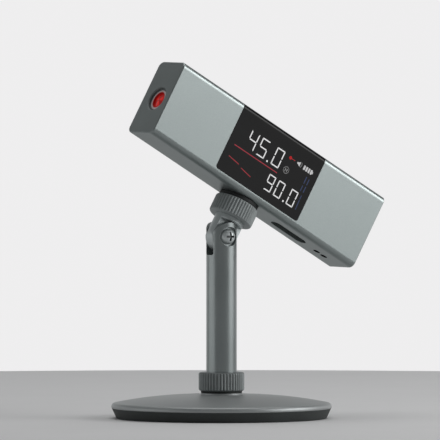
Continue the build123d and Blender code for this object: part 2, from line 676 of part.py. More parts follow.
def inner_frame():
    """Moulded chassis: web, display border, battery shelf, board posts and laser cradle."""
    side = INNER_BACK - FRAME_GAP
    web = slab(LASER_REAR, FRAME_RIGHT, LIGHT_BACK, WEB_BACK, FRAME_FLOOR, FRAME_ROOF)
    web += slab(FRAME_LEFT, LASER_REAR, LIGHT_BACK, WEB_BACK, FRAME_FLOOR, LASER_HEIGHT - CRADLE_PAD)
    notch = INSERT_FLANGE_DIAMETER / 2 + FRAME_GAP
    notch_top = INSERT_HEIGHT + FRAME_GAP
    web -= at_insert(slab(-notch, notch, LIGHT_BACK, WEB_BACK, FRAME_FLOOR, notch_top))
    pin_reach = max(pin_places()) + PIN_PITCH / 2
    pin_room = PIN_DIAMETER / 2 + FRAME_GAP
    web -= slab(-pin_reach, pin_reach, LIGHT_BACK, WEB_BACK, pin_height() - pin_room,
                pin_height() + pin_room)

    shelf_floor = BATTERY_LIFT - SHELF_THICK
    stop_top = BATTERY_LIFT + BATTERY_STOP_HEIGHT
    stop_left = BATTERY_LEFT - BATTERY_GAP
    stop_right = BATTERY_RIGHT + BATTERY_GAP
    frame = web + display_border(LENS_BACK + GASKET_THICK, LIGHT_BACK)
    frame += slab(stop_left - SHELF_THICK, stop_right + SHELF_THICK, WEB_BACK, side, shelf_floor,
                  BATTERY_LIFT)
    frame += slab(stop_left - SHELF_THICK, stop_left, BATTERY_FRONT, side, shelf_floor, stop_top)
    frame += slab(stop_right, stop_right + SHELF_THICK, BATTERY_FRONT, side, shelf_floor, stop_top)

    for x, z in board_screw_places():
        frame += rod(STANDOFF_DIAMETER, (x, WEB_BACK, z), (x, BOARD_FRONT, z))
        bite = BOARD_FRONT - BOARD_SCREW_BITE - SEAT_GAP
        frame -= rod(BOARD_SCREW_DIAMETER + 2 * PRESS_FIT, (x, bite, z), (x, BOARD_FRONT, z))

    plate = PORT_LENGTH / 2 + PORT_MARGIN
    plate_back = PORT_WIDTH / 2 + PORT_MARGIN
    frame += slab(PORT_CENTRE - plate, PORT_CENTRE + plate, WEB_BACK, plate_back, FRAME_FLOOR,
                  PORT_PLATE_TOP)
    mouth = upright_slot(USB_WIDTH + 2 * FRAME_GAP, USB_THICK + 2 * FRAME_GAP, FRAME_FLOOR, PORT_PLATE_TOP)
    frame -= Pos(PORT_CENTRE, 0, 0) * mouth
    frame += laser_cradle()
    frame -= laser_room(LASER_SEAT_GAP)
    for x, y in clamp_screw_places():
        bite = LASER_HEIGHT - CLAMP_SCREW_BITE - SEAT_GAP
        frame -= rod(CLAMP_SCREW_DIAMETER + 2 * PRESS_FIT, (x, y, bite), (x, y, LASER_HEIGHT))
    return frame & level_bar(SLEEVE_WALL + FRAME_GAP, LEFT_END, RIGHT_END)


def main_board():
    """Circuit board that steps down to the charging port on the right."""
    port_left = PORT_CENTRE - USB_WIDTH / 2 - BOARD_EDGE_GAP
    board = slab(BOARD_LEFT, BOARD_RIGHT, BOARD_FRONT, BOARD_BACK, BOARD_STEP, BOARD_TOP)
    board += slab(port_left, BOARD_RIGHT, BOARD_FRONT, BOARD_BACK, BOARD_FLOOR, BOARD_STEP)
    for x, z in board_screw_places():
        board -= rod(BOARD_SCREW_DIAMETER + 2 * TURNING_FIT, (x, BOARD_FRONT, z), (x, BOARD_BACK, z))
    z = pin_height()
    for x in pin_places():
        board -= rod(PIN_DIAMETER + 2 * PRESS_FIT, (x, BOARD_FRONT, z), (x, BOARD_BACK, z))
    return board


def board_screws():
    """Screws that hold the board to the frame's posts."""
    screws = []
    for x, z in board_screw_places():
        head = rod(BOARD_SCREW_HEAD, (x, BOARD_BACK, z), (x, BOARD_BACK + BOARD_SCREW_HEAD_HEIGHT, z))
        shank = rod(BOARD_SCREW_DIAMETER, (x, BOARD_FRONT - BOARD_SCREW_BITE, z), (x, BOARD_BACK, z))
        screws.append(head + shank)
    return Compound(children=screws)


def board_chips():
    """Processor, tilt sensor, charger and coil on the back of the board."""
    chips = []
    for step, size in enumerate(CHIP_SIZES):
        x = CHIP_LEFT + CHIP_PITCH * step
        half = size / 2
        top = BOARD_BACK + CHIP_HEIGHTS[step]
        chips.append(slab(x - half, x + half, BOARD_BACK, top, BOARD_MIDDLE - half, BOARD_MIDDLE + half))
    return Compound(children=chips)


def buzzer():
    """Sounder on the back of the board, beyond the battery's wires."""
    top = (BUZZER_PLACE, BOARD_BACK + BUZZER_HEIGHT, BOARD_MIDDLE)
    can = rod(BUZZER_DIAMETER, (BUZZER_PLACE, BOARD_BACK, BOARD_MIDDLE), top)
    port = rod(BUZZER_PORT, (BUZZER_PLACE, BOARD_BACK + BUZZER_HEIGHT / 2, BOARD_MIDDLE), top)
    return can - port


def usb_shell():
    """Metal shell of the charging port, its mouth facing down."""
    shell = upright_slot(USB_WIDTH, USB_THICK, USB_SINK, USB_SINK + USB_DEPTH)
    wall = 2 * USB_SHELL_WALL
    shell -= upright_slot(USB_WIDTH - wall, USB_THICK - wall, USB_SINK, USB_SINK + USB_DEPTH)
    return Pos(PORT_CENTRE, 0, 0) * shell


def usb_core():
    """Plastic back and tongue inside the port's shell."""
    wall = 2 * (USB_SHELL_WALL + PRESS_FIT)
    top = USB_SINK + USB_DEPTH
    core = upright_slot(USB_WIDTH - wall, USB_THICK - wall, top - USB_BACK, top)
    half = USB_TONGUE_WIDTH / 2
    edge = USB_TONGUE_THICK / 2
    core += slab(-half, half, -edge, edge, USB_SINK + USB_BACK, top - USB_BACK)
    return Pos(PORT_CENTRE, 0, 0) * core


def battery():
    """Pouch cell on the frame's shelf, along the back wall."""
    cell = slab(BATTERY_LEFT, BATTERY_RIGHT, BATTERY_FRONT, BATTERY_BACK, BATTERY_LIFT, BATTERY_TOP)
    return fillet(cell.edges().filter_by(Axis.Z), BATTERY_ROUND)


def wire(*points):
    """Insulated wire along straight runs joined by arcs."""
    route = FilletPolyline(*points, radius=LEAD_BEND)
    section = Plane(origin=route @ 0, z_dir=route % 0) * Circle(LEAD_DIAMETER / 2)
    return sweep(section, path=route)


def battery_lead():
    """Two wires from the cell's right end to the board."""
    y = (BATTERY_FRONT + BATTERY_BACK) / 2
    start = (BATTERY_LIFT + BATTERY_STOP_HEIGHT + BATTERY_TOP - LEAD_PITCH) / 2
    wires = []
    for step in range(2):
        z = start + LEAD_PITCH * step
        wires.append(wire((BATTERY_RIGHT, y, z), (LEAD_TURN, y, z), (LEAD_TURN, BOARD_BACK, z)))
    return Compound(children=wires)


def power_key():
    """Dished key, flush with the lens, with a lip that stops under it."""
    lip_top = KEY_UNDERSIDE + KEY_LIP_THICK
    key = upright_slot(KEY_LENGTH - 2 * KEY_GAP, KEY_WIDTH - 2 * KEY_GAP, KEY_UNDERSIDE, LEVEL_HEIGHT)
    key += upright_slot(KEY_LENGTH + 2 * KEY_LIP, KEY_WIDTH + 2 * KEY_LIP, KEY_UNDERSIDE, lip_top)
    reach = KEY_LENGTH / 2 - 2 * KEY_GAP
    radius = (reach ** 2 + KEY_DISH_DEPTH ** 2) / (2 * KEY_DISH_DEPTH)
    centre = LEVEL_HEIGHT - KEY_DISH_DEPTH + radius
    key -= rod(2 * radius, (0, -KEY_WIDTH, centre), (0, KEY_WIDTH, centre))
    return Pos(0, KEY_PLACE, 0) * key


def plunger_floor():
    return BOARD_TOP - PLUNGER_SEAT


def key_plunger():
    """Plunger of the key switch, which the key rests on."""
    half = PLUNGER_WIDTH / 2
    deep = PLUNGER_DEPTH / 2
    return slab(-half, half, KEY_PLACE - deep, KEY_PLACE + deep, plunger_floor(), KEY_UNDERSIDE)


def key_switch():
    """Switch on the board's top edge, with a well for its plunger."""
    half = SWITCH_WIDTH / 2
    body = slab(-half, half, BOARD_BACK, BOARD_BACK + SWITCH_DEPTH, SWITCH_FLOOR, BOARD_TOP)
    wide = PLUNGER_WIDTH / 2 + PLUNGER_GAP
    deep = PLUNGER_DEPTH / 2 + PLUNGER_GAP
    well_floor = plunger_floor() - KEY_TRAVEL - PLUNGER_GAP
    return body - slab(-wide, wide, KEY_PLACE - deep, KEY_PLACE + deep, well_floor, BOARD_TOP)


def along_laser(diameter, start, end):
    """Round bar in the laser module, between two distances behind the barrel's front."""
    return on_laser(diameter, LASER_FRONT + start, LASER_FRONT + end)


def line_lens_back():
    return LINE_LENS_SINK + LINE_LENS_THICK


def diode_front():
    """Distance from the barrel's front to the diode's flange."""
    return LASER_LENGTH - DIODE_FLANGE_THICK


def laser_barrel():
    """Stepped barrel that holds the two lenses and the diode."""
    barrel = along_laser(LASER_DIAMETER, 0, LASER_LENGTH)
    barrel -= along_laser(LINE_LENS_DIAMETER + 2 * PRESS_FIT, 0, line_lens_back())
    barrel -= along_laser(DIODE_CAN_DIAMETER + 2 * FRAME_GAP, 0, LASER_LENGTH)
    collimator_back = COLLIMATOR_PLACE + COLLIMATOR_THICK
    barrel -= along_laser(COLLIMATOR_DIAMETER + 2 * PRESS_FIT, line_lens_back(), collimator_back)
    return barrel - along_laser(DIODE_FLANGE_DIAMETER + 2 * PRESS_FIT, diode_front(), LASER_LENGTH)


def line_lens():
    """Front lens with a shallow crown, which spreads the beam into a line."""
    radius = LINE_LENS_DIAMETER / 2
    lens = turned(
        Polyline((0, 0), (0, LINE_LENS_THICK), (radius, LINE_LENS_THICK), (radius, LINE_LENS_CROWN)),
        TangentArc((0, 0), (radius, LINE_LENS_CROWN), tangent=(1, 0)),
    )
    return Pos(LASER_FRONT + LINE_LENS_SINK, LASER_SIDE, LASER_HEIGHT) * Rot(0, 90, 0) * lens


def collimating_lens():
    return along_laser(COLLIMATOR_DIAMETER, COLLIMATOR_PLACE, COLLIMATOR_PLACE + COLLIMATOR_THICK)


def diode_pin_places():
    """Depth and height of the diode's three pins."""
    radius = DIODE_PIN_PITCH_DIAMETER / 2
    turns = [2 * pi * step / DIODE_PINS for step in range(DIODE_PINS)]
    return [(LASER_SIDE + radius * cos(turn), LASER_HEIGHT + radius * sin(turn)) for turn in turns]


def laser_diode():
    """Diode in its can, with three pins to the driver board."""
    can = along_laser(DIODE_CAN_DIAMETER, diode_front() - DIODE_CAN_HEIGHT, diode_front())
    diode = can + along_laser(DIODE_FLANGE_DIAMETER, diode_front(), LASER_LENGTH)
    for y, z in diode_pin_places():
        diode += rod(DIODE_PIN_DIAMETER, (LASER_REAR, y, z), (LASER_REAR + DIODE_PIN_LENGTH, y, z))
    return diode


def laser_driver_board():
    """Small board on the diode's pins."""
    x = LASER_REAR + DRIVER_GAP
    half = DRIVER_SIZE / 2
    board = slab(x, x + DRIVER_THICK, LASER_SIDE - half, LASER_SIDE + half, LASER_HEIGHT - half,
                 LASER_HEIGHT + half)
    for y, z in diode_pin_places():
        board -= rod(DIODE_PIN_DIAMETER + 2 * PRESS_FIT, (x, y, z), (x + DRIVER_THICK, y, z))
    return board


def laser_lead():
    """Two wires from the driver board to the main board."""
    start = LASER_REAR + DRIVER_GAP + DRIVER_THICK
    turn = BOARD_LEFT + BOARD_SCREW_INSET + BOARD_SCREW_HEAD + LEAD_DIAMETER
    y = BOARD_BACK + LEAD_BEND + LEAD_DIAMETER
    wires = []
    for step in (-1, 1):
        z = LASER_HEIGHT + step * LEAD_PITCH
        wires.append(wire((start, y, z), (turn, y, z), (turn, BOARD_BACK, z)))
    return Compound(children=wires)


def laser_clamp():
    """Arched strap that holds the barrel down on its cradle, screwed down behind it."""
    side = INNER_BACK - FRAME_GAP
    x0 = FRAME_LEFT + CRADLE_MARGIN
    x1 = x0 + CLAMP_LENGTH
    arch = LASER_DIAMETER + 2 * (LASER_SEAT_GAP + CLAMP_WALL)
    clamp = on_laser(arch, x0, x1)
    clamp += slab(x0, x1, -side, side, LASER_HEIGHT, LASER_HEIGHT + CLAMP_WALL)
    clamp &= slab(x0, x1, -side, side, LASER_HEIGHT, LASER_HEIGHT + arch)
    clamp -= laser_room(LASER_SEAT_GAP)
    for x, y in clamp_screw_places():
        hole = CLAMP_SCREW_DIAMETER + 2 * TURNING_FIT
        clamp -= rod(hole, (x, y, LASER_HEIGHT), (x, y, LASER_HEIGHT + CLAMP_WALL))
    return clamp


def clamp_screws():
    """Screws through the clamp's rear foot."""
    seat = LASER_HEIGHT + CLAMP_WALL
    screws = []
    for x, y in clamp_screw_places():
        head = rod(CLAMP_SCREW_HEAD, (x, y, seat), (x, y, seat + CLAMP_SCREW_HEAD_HEIGHT))
        shank = rod(CLAMP_SCREW_DIAMETER, (x, y, LASER_HEIGHT - CLAMP_SCREW_BITE), (x, y, seat))
        screws.append(head + shank)
    return Compound(children=screws)


def thread_insert():
    """Flanged insert that takes the tilt head's stud."""
    flange_top = SLEEVE_WALL + INSERT_FLANGE_THICK
    insert = rod(INSERT_DIAMETER, (0, 0, 0), (0, 0, INSERT_HEIGHT))
    insert += rod(INSERT_FLANGE_DIAMETER, (0, 0, SLEEVE_WALL), (0, 0, flange_top))
    insert -= rod(STUD_DIAMETER + 2 * TURNING_FIT, (0, 0, 0), (0, 0, INSERT_HEIGHT))
    return at_insert(insert)


def anchor_block(gap):
    """Outside of the lanyard anchor, with a gap all round above the sleeve's floor."""
    along = ANCHOR_LENGTH / 2 + gap
    across = ANCHOR_WIDTH / 2 + gap
    top = ANCHOR_BAR_TOP + ANCHOR_BORE + ANCHOR_ROOF + gap
    return slab(LANYARD_CENTRE - along, LANYARD_CENTRE + along, -across, across, SLEEVE_WALL, top)


def lanyard_anchor():
    """Block inside the sleeve with the looped way and the bar that a lanyard goes round."""
    way_top = ANCHOR_BAR_TOP + ANCHOR_BORE
    edge = ANCHOR_BORE / 2
    left, right = lanyard_places()
    anchor = anchor_block(0)
    for x in (left, right):
        anchor -= rod(ANCHOR_BORE, (x, 0, SLEEVE_WALL), (x, 0, way_top))
    return anchor - slab(left, right, -edge, edge, ANCHOR_BAR_TOP, way_top)


STAND_PARTS = {
    "base_dome": base_dome(),
    "base_weight": base_weight(),
    "base_screws": base_screws(),
    "base_bush": base_bush(),
    "base_foot": base_foot(),
    "lower_ring_washer": Pos(0, 0, PAD_HEIGHT + SEAT_GAP) * ring_washer(LOWER_WASHER_THICK),
    "lower_lock_ring": lower_lock_ring(),
    "column": column(),
    "column_stud": column_stud(),
    "pivot_screw": pivot_screw(),
    "pivot_nut": pivot_nut(),
    "tilt_head": tilted(tilt_head()),
    "upper_lock_ring": tilted(Pos(0, 0, UPPER_RING_HEIGHT) * lock_ring()),
    "upper_ring_washer": tilted(Pos(0, 0, UPPER_WASHER_HEIGHT) * ring_washer(UPPER_WASHER_THICK)),
}

LEVEL_PARTS = {
    "level_sleeve": level_sleeve(),
    "left_end_cap": left_end_cap(),
    "right_end_cap": right_end_cap(),
    "display_lens": display_lens(),
    "lens_gasket": lens_gasket(),
    "lcd_panel": lcd_panel(),
    "backlight": backlight(),
    "display_pins": display_pins(),
    "inner_frame": inner_frame(),
    "main_board": main_board(),
    "board_screws": board_screws(),
    "board_chips": board_chips(),
    "buzzer": buzzer(),
    "usb_shell": usb_shell(),
    "usb_core": usb_core(),
    "battery": battery(),
    "battery_lead": battery_lead(),
    "power_key": power_key(),
    "key_plunger": key_plunger(),
    "key_switch": key_switch(),
    "laser_barrel": laser_barrel(),
    "line_lens": line_lens(),
    "collimating_lens": collimating_lens(),
    "laser_diode": laser_diode(),
    "laser_driver_board": laser_driver_board(),
    "laser_lead": laser_lead(),
    "laser_clamp": laser_clamp(),
    "clamp_screws": clamp_screws(),
    "thread_insert": thread_insert(),
    "lanyard_anchor": lanyard_anchor(),
}

os.makedirs("parts", exist_ok=True)
for name, solid in STAND_PARTS.items():
    export_step(solid, f"parts/{name}.step")
for name, solid in LEVEL_PARTS.items():
    export_step(on_level(solid), f"parts/{name}.step")
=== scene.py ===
import json
from math import atan2, cos, pi, radians, sin

import bpy
from mathutils import Matrix, Vector


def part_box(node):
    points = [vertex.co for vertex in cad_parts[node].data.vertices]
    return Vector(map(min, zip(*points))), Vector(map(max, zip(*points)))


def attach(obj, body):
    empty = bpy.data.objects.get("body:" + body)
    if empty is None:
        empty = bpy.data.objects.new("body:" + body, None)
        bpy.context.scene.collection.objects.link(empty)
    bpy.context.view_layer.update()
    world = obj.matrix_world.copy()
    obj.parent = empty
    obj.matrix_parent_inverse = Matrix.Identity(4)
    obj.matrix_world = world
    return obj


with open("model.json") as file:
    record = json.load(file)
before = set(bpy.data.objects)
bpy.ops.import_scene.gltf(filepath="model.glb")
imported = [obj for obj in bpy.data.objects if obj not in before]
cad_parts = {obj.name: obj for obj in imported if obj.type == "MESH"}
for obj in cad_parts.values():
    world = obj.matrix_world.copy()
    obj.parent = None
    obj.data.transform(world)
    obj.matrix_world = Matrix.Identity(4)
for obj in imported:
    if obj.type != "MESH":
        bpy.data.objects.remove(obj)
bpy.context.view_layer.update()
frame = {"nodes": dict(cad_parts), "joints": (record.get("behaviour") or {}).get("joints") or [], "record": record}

# Laser spirit level on its stand, in metres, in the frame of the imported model.
MM = 0.001

# Finishes: sizes that follow the knurl of the lock rings, the cross recess of the pivot screw,
# the laser's lens and opening, and the lanyard holes
RIDGE_RISE = 0.32 * MM
RIDGE_CREST = 0.1 * MM
RIDGE_ROOT = 1.2 * RIDGE_RISE
RECESS_ARM = 0.75 * MM
RECESS_LENGTH = 3.3 * MM
RECESS_BLUR = 0.08 * MM
LENS_CORE = 1.2 * MM
LENS_RIM = 3.1 * MM
LENS_FACETS = 3.0
LENS_GLOW_EDGE = 3.3 * MM
LENS_GLOW_BLUR = 0.15 * MM
OPENING_EDGE = 5.15 * MM
OPENING_BLUR = 0.1 * MM
HOLE_RIM = 0.28 * MM
HOLE_BLUR = 0.12 * MM
HOLE_DEPTH = 2.0 * MM

# Finishes: colours that wear and dust bring to a surface, painted shade in its hollows, the lens's painted glow on
# the barrel, the lens's own glow, and bare pads
RUBBED_METAL = (0.62, 0.64, 0.64, 1)
RUBBED_PLASTIC = (0.25, 0.25, 0.25, 1)
SCUFFED_RUBBER = (0.2, 0.2, 0.19, 1)
DUST_ON_METAL = (0.6, 0.59, 0.57, 1)
DUST_ON_WINDOW = (0.3, 0.3, 0.3, 1)
VALLEY_SHADE = (0.09, 0.096, 0.096, 1)
RECESS_SHADE = (0.02, 0.021, 0.021, 1)
OPENING_SHADE = (0.1, 0.106, 0.106, 1)
HOLE_SHADE = (0.012, 0.013, 0.013, 1)
LENS_GLOW = (0.5, 0.02, 0.018, 1)
LENS_RIM_GLOW = (0.34, 0.005, 0.004, 1)
PAD_GOLD = (0.62, 0.52, 0.3, 1)

# Finishes: how far painted shade, dust and wear change a surface; the least painted shade in a knurl's valleys is
# a share of the most
OPENING_DARKER = 0.35
OPENING_DULLER = 0.35
HOLE_DULLER = 0.4
VALLEY_DULLER = 0.4
VALLEY_SHADE_LEAST = 0.6
DUST_DULLER = 0.5
RUBBER_RUB = 0.12
PLASTIC_RUB = 0.15

# Finishes: grain and drift of tone, per metre
METAL_GRAIN = 4200.0
METAL_DRIFT = 55.0
RING_DRIFT = 90.0

# Finishes: shares of the patterns that are put together; the wander is a share of a turned
# ring's pitch
FINE_SHARE = 0.55
SLOW_SHARE = 0.45
FILM_SHARE = 0.35
TURNING_SHARE = 0.2
SMEAR_SHARE = 0.8
TURNING_WANDER = 0.4
FAN_SHARE = 0.25

# Finishes: metallic value of bare pads, and samples that find an edge
PAD_METALLIC = 0.9
EDGE_SAMPLES = 6

# Finishes: spans of a pattern that fill a mask
GRAIN_SPAN = (0.32, 0.68)
NOISE_SPAN = (0.3, 0.7)
FULL_SPAN = (0.0, 1.0)

# Camera, for a picture of 440 by 440 pixels
VIEW_AZIMUTH = -33.6
VIEW_ELEVATION = 1.9
PICTURE_SIDE = 440
PIXELS_PER_MM = 2.64
SENSOR_WIDTH = 36.0
LENS_LENGTH = 1200.0
AIM_HEIGHT = 75.15 * MM
AIM_RIGHT = -0.57 * MM

# Studio: softboxes are given by azimuth, elevation, distance, width, height and radiance
FLOOR_RADIUS = 0.42
FLOOR_SIDES = 96
FLOOR_COLOUR = (0.68, 0.68, 0.682, 1)
FLOOR_DRIFT = 1.02
SOFTBOXES = {
    "key_softbox": (47.0, 14.0, 0.75, 0.6, 0.45, 2.35),
    "upper_strip": (53.0, 20.5, 1.0, 0.4, 0.27, 5.0),
    "overhead_softbox": (150.0, 80.0, 1.1, 0.9, 0.9, 1.8),
    "rear_strip": (-115.0, 2.0, 0.9, 1.0, 0.3, 0.95),
}
BACKDROP_PALE = (0.86, 0.855, 0.86, 1)
BACKDROP_DIM = (0.24, 0.244, 0.248, 1)
BACKDROP_FADE = (0.35, 0.9)
CEILING_GREY = (0.17, 0.173, 0.176, 1)
CEILING_FADE = (0.12, 0.6)

# Display figures: corner cuts as a share of the stroke, and the steps of a ring or arc
BAR_POINT = 0.45
CORNER_BREAK = 0.15
ARC_STEPS = 32

# Display figures, in millimetres from the middle of the level's underside: along the level,
# then up. The size of a digit or mark is its width, its height and its stroke.
FIGURE_PROUD = 0.02
WELD_GAP = 0.002
CORNER_GAP = 0.09
MIDDLE_GAP = 0.5
UPPER_DIGIT_SIZE = (4.0, 7.2, 0.47)
LOWER_DIGIT_SIZE = (3.45, 6.45, 0.45)
UPPER_DIGITS = (("4", -11.5, 19.65), ("5", -5.9, 19.5), ("0", 1.75, 19.6))
LOWER_DIGITS = (("9", 3.3, 9.45), ("0", 8.3, 9.45), ("0", 15.0, 9.45))
UPPER_POINT = (-2.0, 16.1)
LOWER_POINT = (11.9, 6.5)
POINT_SIZE = 0.68
RED_LINE = ((-18.15, 14.4), (4.2, 14.4))
RED_LINE_WIDTH = 0.34
RED_DASHES = (((-18.2, 9.5), (-12.6, 8.8)), ((-11.1, 8.1), (-5.6, 7.2)))
RED_DASH_WIDTH = 0.26
RED_SPOT = (6.8, 22.4)
RED_SPOT_RADIUS = 0.65
RED_TAIL = ((7.2, 22.4), (9.2, 22.4))
RED_TAIL_WIDTH = 0.16
BLUE_BARS = (((16.9, 19.7), (16.9, 16.8)), ((16.9, 16.0), (16.9, 13.6)),
             ((18.35, 19.4), (18.35, 16.9)), ((18.35, 16.2), (18.35, 13.7)),
             ((18.3, 12.4), (18.3, 10.7)), ((18.3, 10.4), (18.45, 6.4)))
BLUE_BAR_WIDTH = 0.4
SPEAKER_PLACE = (10.65, 22.35)
SPEAKER_BOX = (0.5, 0.7)
SPEAKER_CONE = 1.0
SPEAKER_FLARE = 2.7
WAVE_PLACE = (11.0, 22.3)
WAVE_RADIUS = 1.65
WAVE_WIDTH = 0.3
WAVE_TURN = 70.0
BATTERY_PLACE = (16.0, 22.2)
BATTERY_PITCH = 1.2
BATTERY_BARS = 4
BATTERY_BAR_SIZE = (0.86, 1.8)
BATTERY_TIP_SIZE = (0.4, 0.9)
HOLD_PLACE = (7.3, 17.4)
HOLD_RING_RADIUS = 1.3
HOLD_RING_WIDTH = 0.24
HOLD_MARK_SIZE = (0.95, 1.5, 0.24)

# Glow of the display figures, bright and dim
LIT_TONES = {
    "lit_white": ((0.8, 0.8, 0.8, 1), (0.68, 0.68, 0.69, 1)),
    "lit_grey": ((0.28, 0.28, 0.28, 1), (0.21, 0.21, 0.21, 1)),
    "lit_soft": ((0.58, 0.58, 0.58, 1), (0.42, 0.42, 0.43, 1)),
    "lit_red": ((0.36, 0.025, 0.042, 1), (0.28, 0.019, 0.032, 1)),
    "lit_ember": ((0.62, 0.034, 0.036, 1), (0.48, 0.024, 0.028, 1)),
    "lit_wine": ((0.38, 0.026, 0.036, 1), (0.3, 0.02, 0.029, 1)),
    "lit_blue": ((0.026, 0.042, 0.11, 1), (0.018, 0.03, 0.08, 1)),
}

# Segments of a digit by side and half; the bar across its middle is g
SEGMENTS = {"a": (0, 1), "b": (1, 1), "c": (1, -1), "d": (0, -1), "e": (-1, -1), "f": (-1, 1)}
DIGITS = {"0": "abcdef", "4": "bcfg", "5": "acdfg", "9": "abcdfg"}

# The level's own axes, read from the joint that it swivels on
swivel = next(joint for joint in frame["joints"] if joint["name"] == "level_swivel")
PIVOT = Vector(swivel["pos_m"])
LEVEL_UP = Vector(swivel["axis"]).normalized()
LEVEL_OUT = Vector((0, -1, 0))
LEVEL_ALONG = LEVEL_UP.cross(LEVEL_OUT)


def level_reach(node, axis):
    """Lowest and highest reach of a node along one of the level's axes, from the pivot."""
    reach = [(vertex.co - PIVOT).dot(axis) for vertex in frame["nodes"][node].data.vertices]
    return min(reach), max(reach)


def middle(reach):
    return sum(reach) / 2


LEVEL_TURN = Matrix((LEVEL_ALONG, LEVEL_UP, LEVEL_OUT)).transposed().to_4x4()
LEVEL_TILT = LEVEL_UP.angle(Vector((0, 0, 1)))
UNDERSIDE = level_reach("level_sleeve", LEVEL_UP)[0]
DISPLAY_ORIGIN = (PIVOT + LEVEL_ALONG * middle(level_reach("level_sleeve", LEVEL_ALONG))
                  + LEVEL_UP * UNDERSIDE
                  + LEVEL_OUT * level_reach("display_lens", LEVEL_OUT)[1])
DISPLAY = Matrix.Translation(DISPLAY_ORIGIN) @ LEVEL_TURN
LASER_HEIGHT = middle(level_reach("laser_barrel", LEVEL_UP))
LASER_DEPTH = -middle(level_reach("laser_barrel", LEVEL_OUT))


# Node helpers

def give(tree, socket, value):
    """Link a socket to a source, or set its plain value."""
    if isinstance(value, bpy.types.NodeSocket):
        tree.links.new(value, socket)
    else:
        socket.default_value = value


def feed(tree, sockets, **values):
    """Link or set sockets by name; a name's spaces are underscores here."""
    for label, value in values.items():
        give(tree, sockets[label.replace("_", " ")], value)


def add(tree, kind, inputs=None, **settings):
    """Add a node, set its properties, then link or set its inputs."""
    made = tree.nodes.new("ShaderNode" + kind)
    for name, value in settings.items():
        setattr(made, name, value)
    for name, value in (inputs or {}).items():
        give(tree, made.inputs[name], value)
    return made


def calc(tree, operation, *values):
    """Math node on sockets or plain numbers."""
    return add(tree, "Math", dict(enumerate(values)), operation=operation).outputs[0]


def product(tree, first, *others):
    """Product of two or more values."""
    for other in others:
        first = calc(tree, "MULTIPLY", first, other)
    return first


def remap(tree, value, low, high, to_low=0.0, to_high=1.0):
    """Map one range of a value smoothly to another, clamped."""
    inputs = {"Value": value, "From Min": low, "From Max": high,
              "To Min": to_low, "To Max": to_high}
    return add(tree, "MapRange", inputs, interpolation_type="SMOOTHSTEP").outputs["Result"]


def blend_colour(tree, factor, first, second):
    """Mix two colours by a factor."""
    return add(tree, "Mix", {0: factor, 6: first, 7: second}, data_type="RGBA").outputs[2]


def noise(tree, vector, scale, detail=2.0, rough=0.55, distortion=0.0):
    """Noise value at a scale per metre."""
    inputs = {"Vector": vector, "Scale": scale, "Detail": detail, "Roughness": rough,
              "Distortion": distortion}
    return add(tree, "TexNoise", inputs).outputs["Fac"]


def cells(tree, vector, scale, randomness=1.0, feature="F1"):
    """Distance in a pattern of cells, at a scale per metre."""
    inputs = {"Vector": vector, "Scale": scale, "Randomness": randomness}
    return add(tree, "TexVoronoi", inputs, feature=feature).outputs["Distance"]


def bump(tree, height, strength, distance):
    inputs = {"Height": height, "Strength": strength, "Distance": distance}
    return add(tree, "Bump", inputs).outputs["Normal"]


def part_of(tree, vector, axis):
    """One coordinate of a vector."""
    return add(tree, "SeparateXYZ", {0: vector}).outputs[axis]


def object_place(tree):
    return add(tree, "TexCoord").outputs["Object"]


def surface_normal(tree):
    return add(tree, "NewGeometry").outputs["Normal"]


def new_group(name, inputs, outputs):
    """Shader node group with named sockets, its input node and its output node."""
    tree = bpy.data.node_groups.new(name, "ShaderNodeTree")
    for label, kind, value in inputs:
        socket = tree.interface.new_socket(label, in_out="INPUT", socket_type="NodeSocket" + kind)
        if value is not None:
            socket.default_value = value
    for label, kind in outputs:
        tree.interface.new_socket(label, in_out="OUTPUT", socket_type="NodeSocket" + kind)
    given = tree.nodes.new("NodeGroupInput").outputs
    made = tree.nodes.new("NodeGroupOutput").inputs
    return tree, given, made


def use_group(tree, group, **inputs):
    """Place a group in a material with its own values."""
    placed = add(tree, "Group", node_tree=group)
    feed(tree, placed.inputs, **inputs)
    return placed.outputs


# Shared effects

def satin_grain_group():
    """Fine blasted grain over slow drifts of tone."""
    tree, given, made = new_group(
        "satin_grain",
        [("Vector", "Vector", None), ("Light", "Color", None), ("Dark", "Color", None),
         ("Grain", "Float", 3000.0), ("Drift", "Float", 40.0),
         ("Smooth", "Float", 0.3), ("Rough", "Float", 0.4)],
        [("Colour", "Color"), ("Roughness", "Float"), ("Height", "Float")])
    fine = noise(tree, given["Vector"], given["Grain"], detail=3.0, rough=0.65)
    slow = noise(tree, given["Vector"], given["Drift"], detail=3.0, rough=0.5)
    both = calc(tree, "ADD", product(tree, fine, FINE_SHARE), product(tree, slow, SLOW_SHARE))
    tone = remap(tree, both, *GRAIN_SPAN)
    patch = remap(tree, slow, *NOISE_SPAN)
    spread = calc(tree, "SUBTRACT", given["Rough"], given["Smooth"])
    feed(tree, made,
         Colour=blend_colour(tree, tone, given["Dark"], given["Light"]),
         Roughness=calc(tree, "MULTIPLY_ADD", patch, spread, given["Smooth"]),
         Height=fine)
    return tree


def edge_rub_group():
    """Mask along sharp edges, broken up by a fine noise."""
    tree, given, made = new_group(
        "edge_rub",
        [("Vector", "Vector", None), ("Radius", "Float", 0.0003), ("Break Up", "Float", 900.0)],
        [("Mask", "Float")])
    rounded = add(tree, "Bevel", {"Radius": given["Radius"]}, samples=EDGE_SAMPLES)
    normals = {0: rounded.outputs["Normal"], 1: surface_normal(tree)}
    facing = add(tree, "VectorMath", normals, operation="DOT_PRODUCT").outputs["Value"]
    edge = remap(tree, calc(tree, "SUBTRACT", 1.0, facing), 0.01, 0.2)
    uneven = remap(tree, noise(tree, given["Vector"], given["Break Up"]), 0.25, 0.6, 0.35, 1.0)
    feed(tree, made, Mask=product(tree, edge, uneven))
    return tree


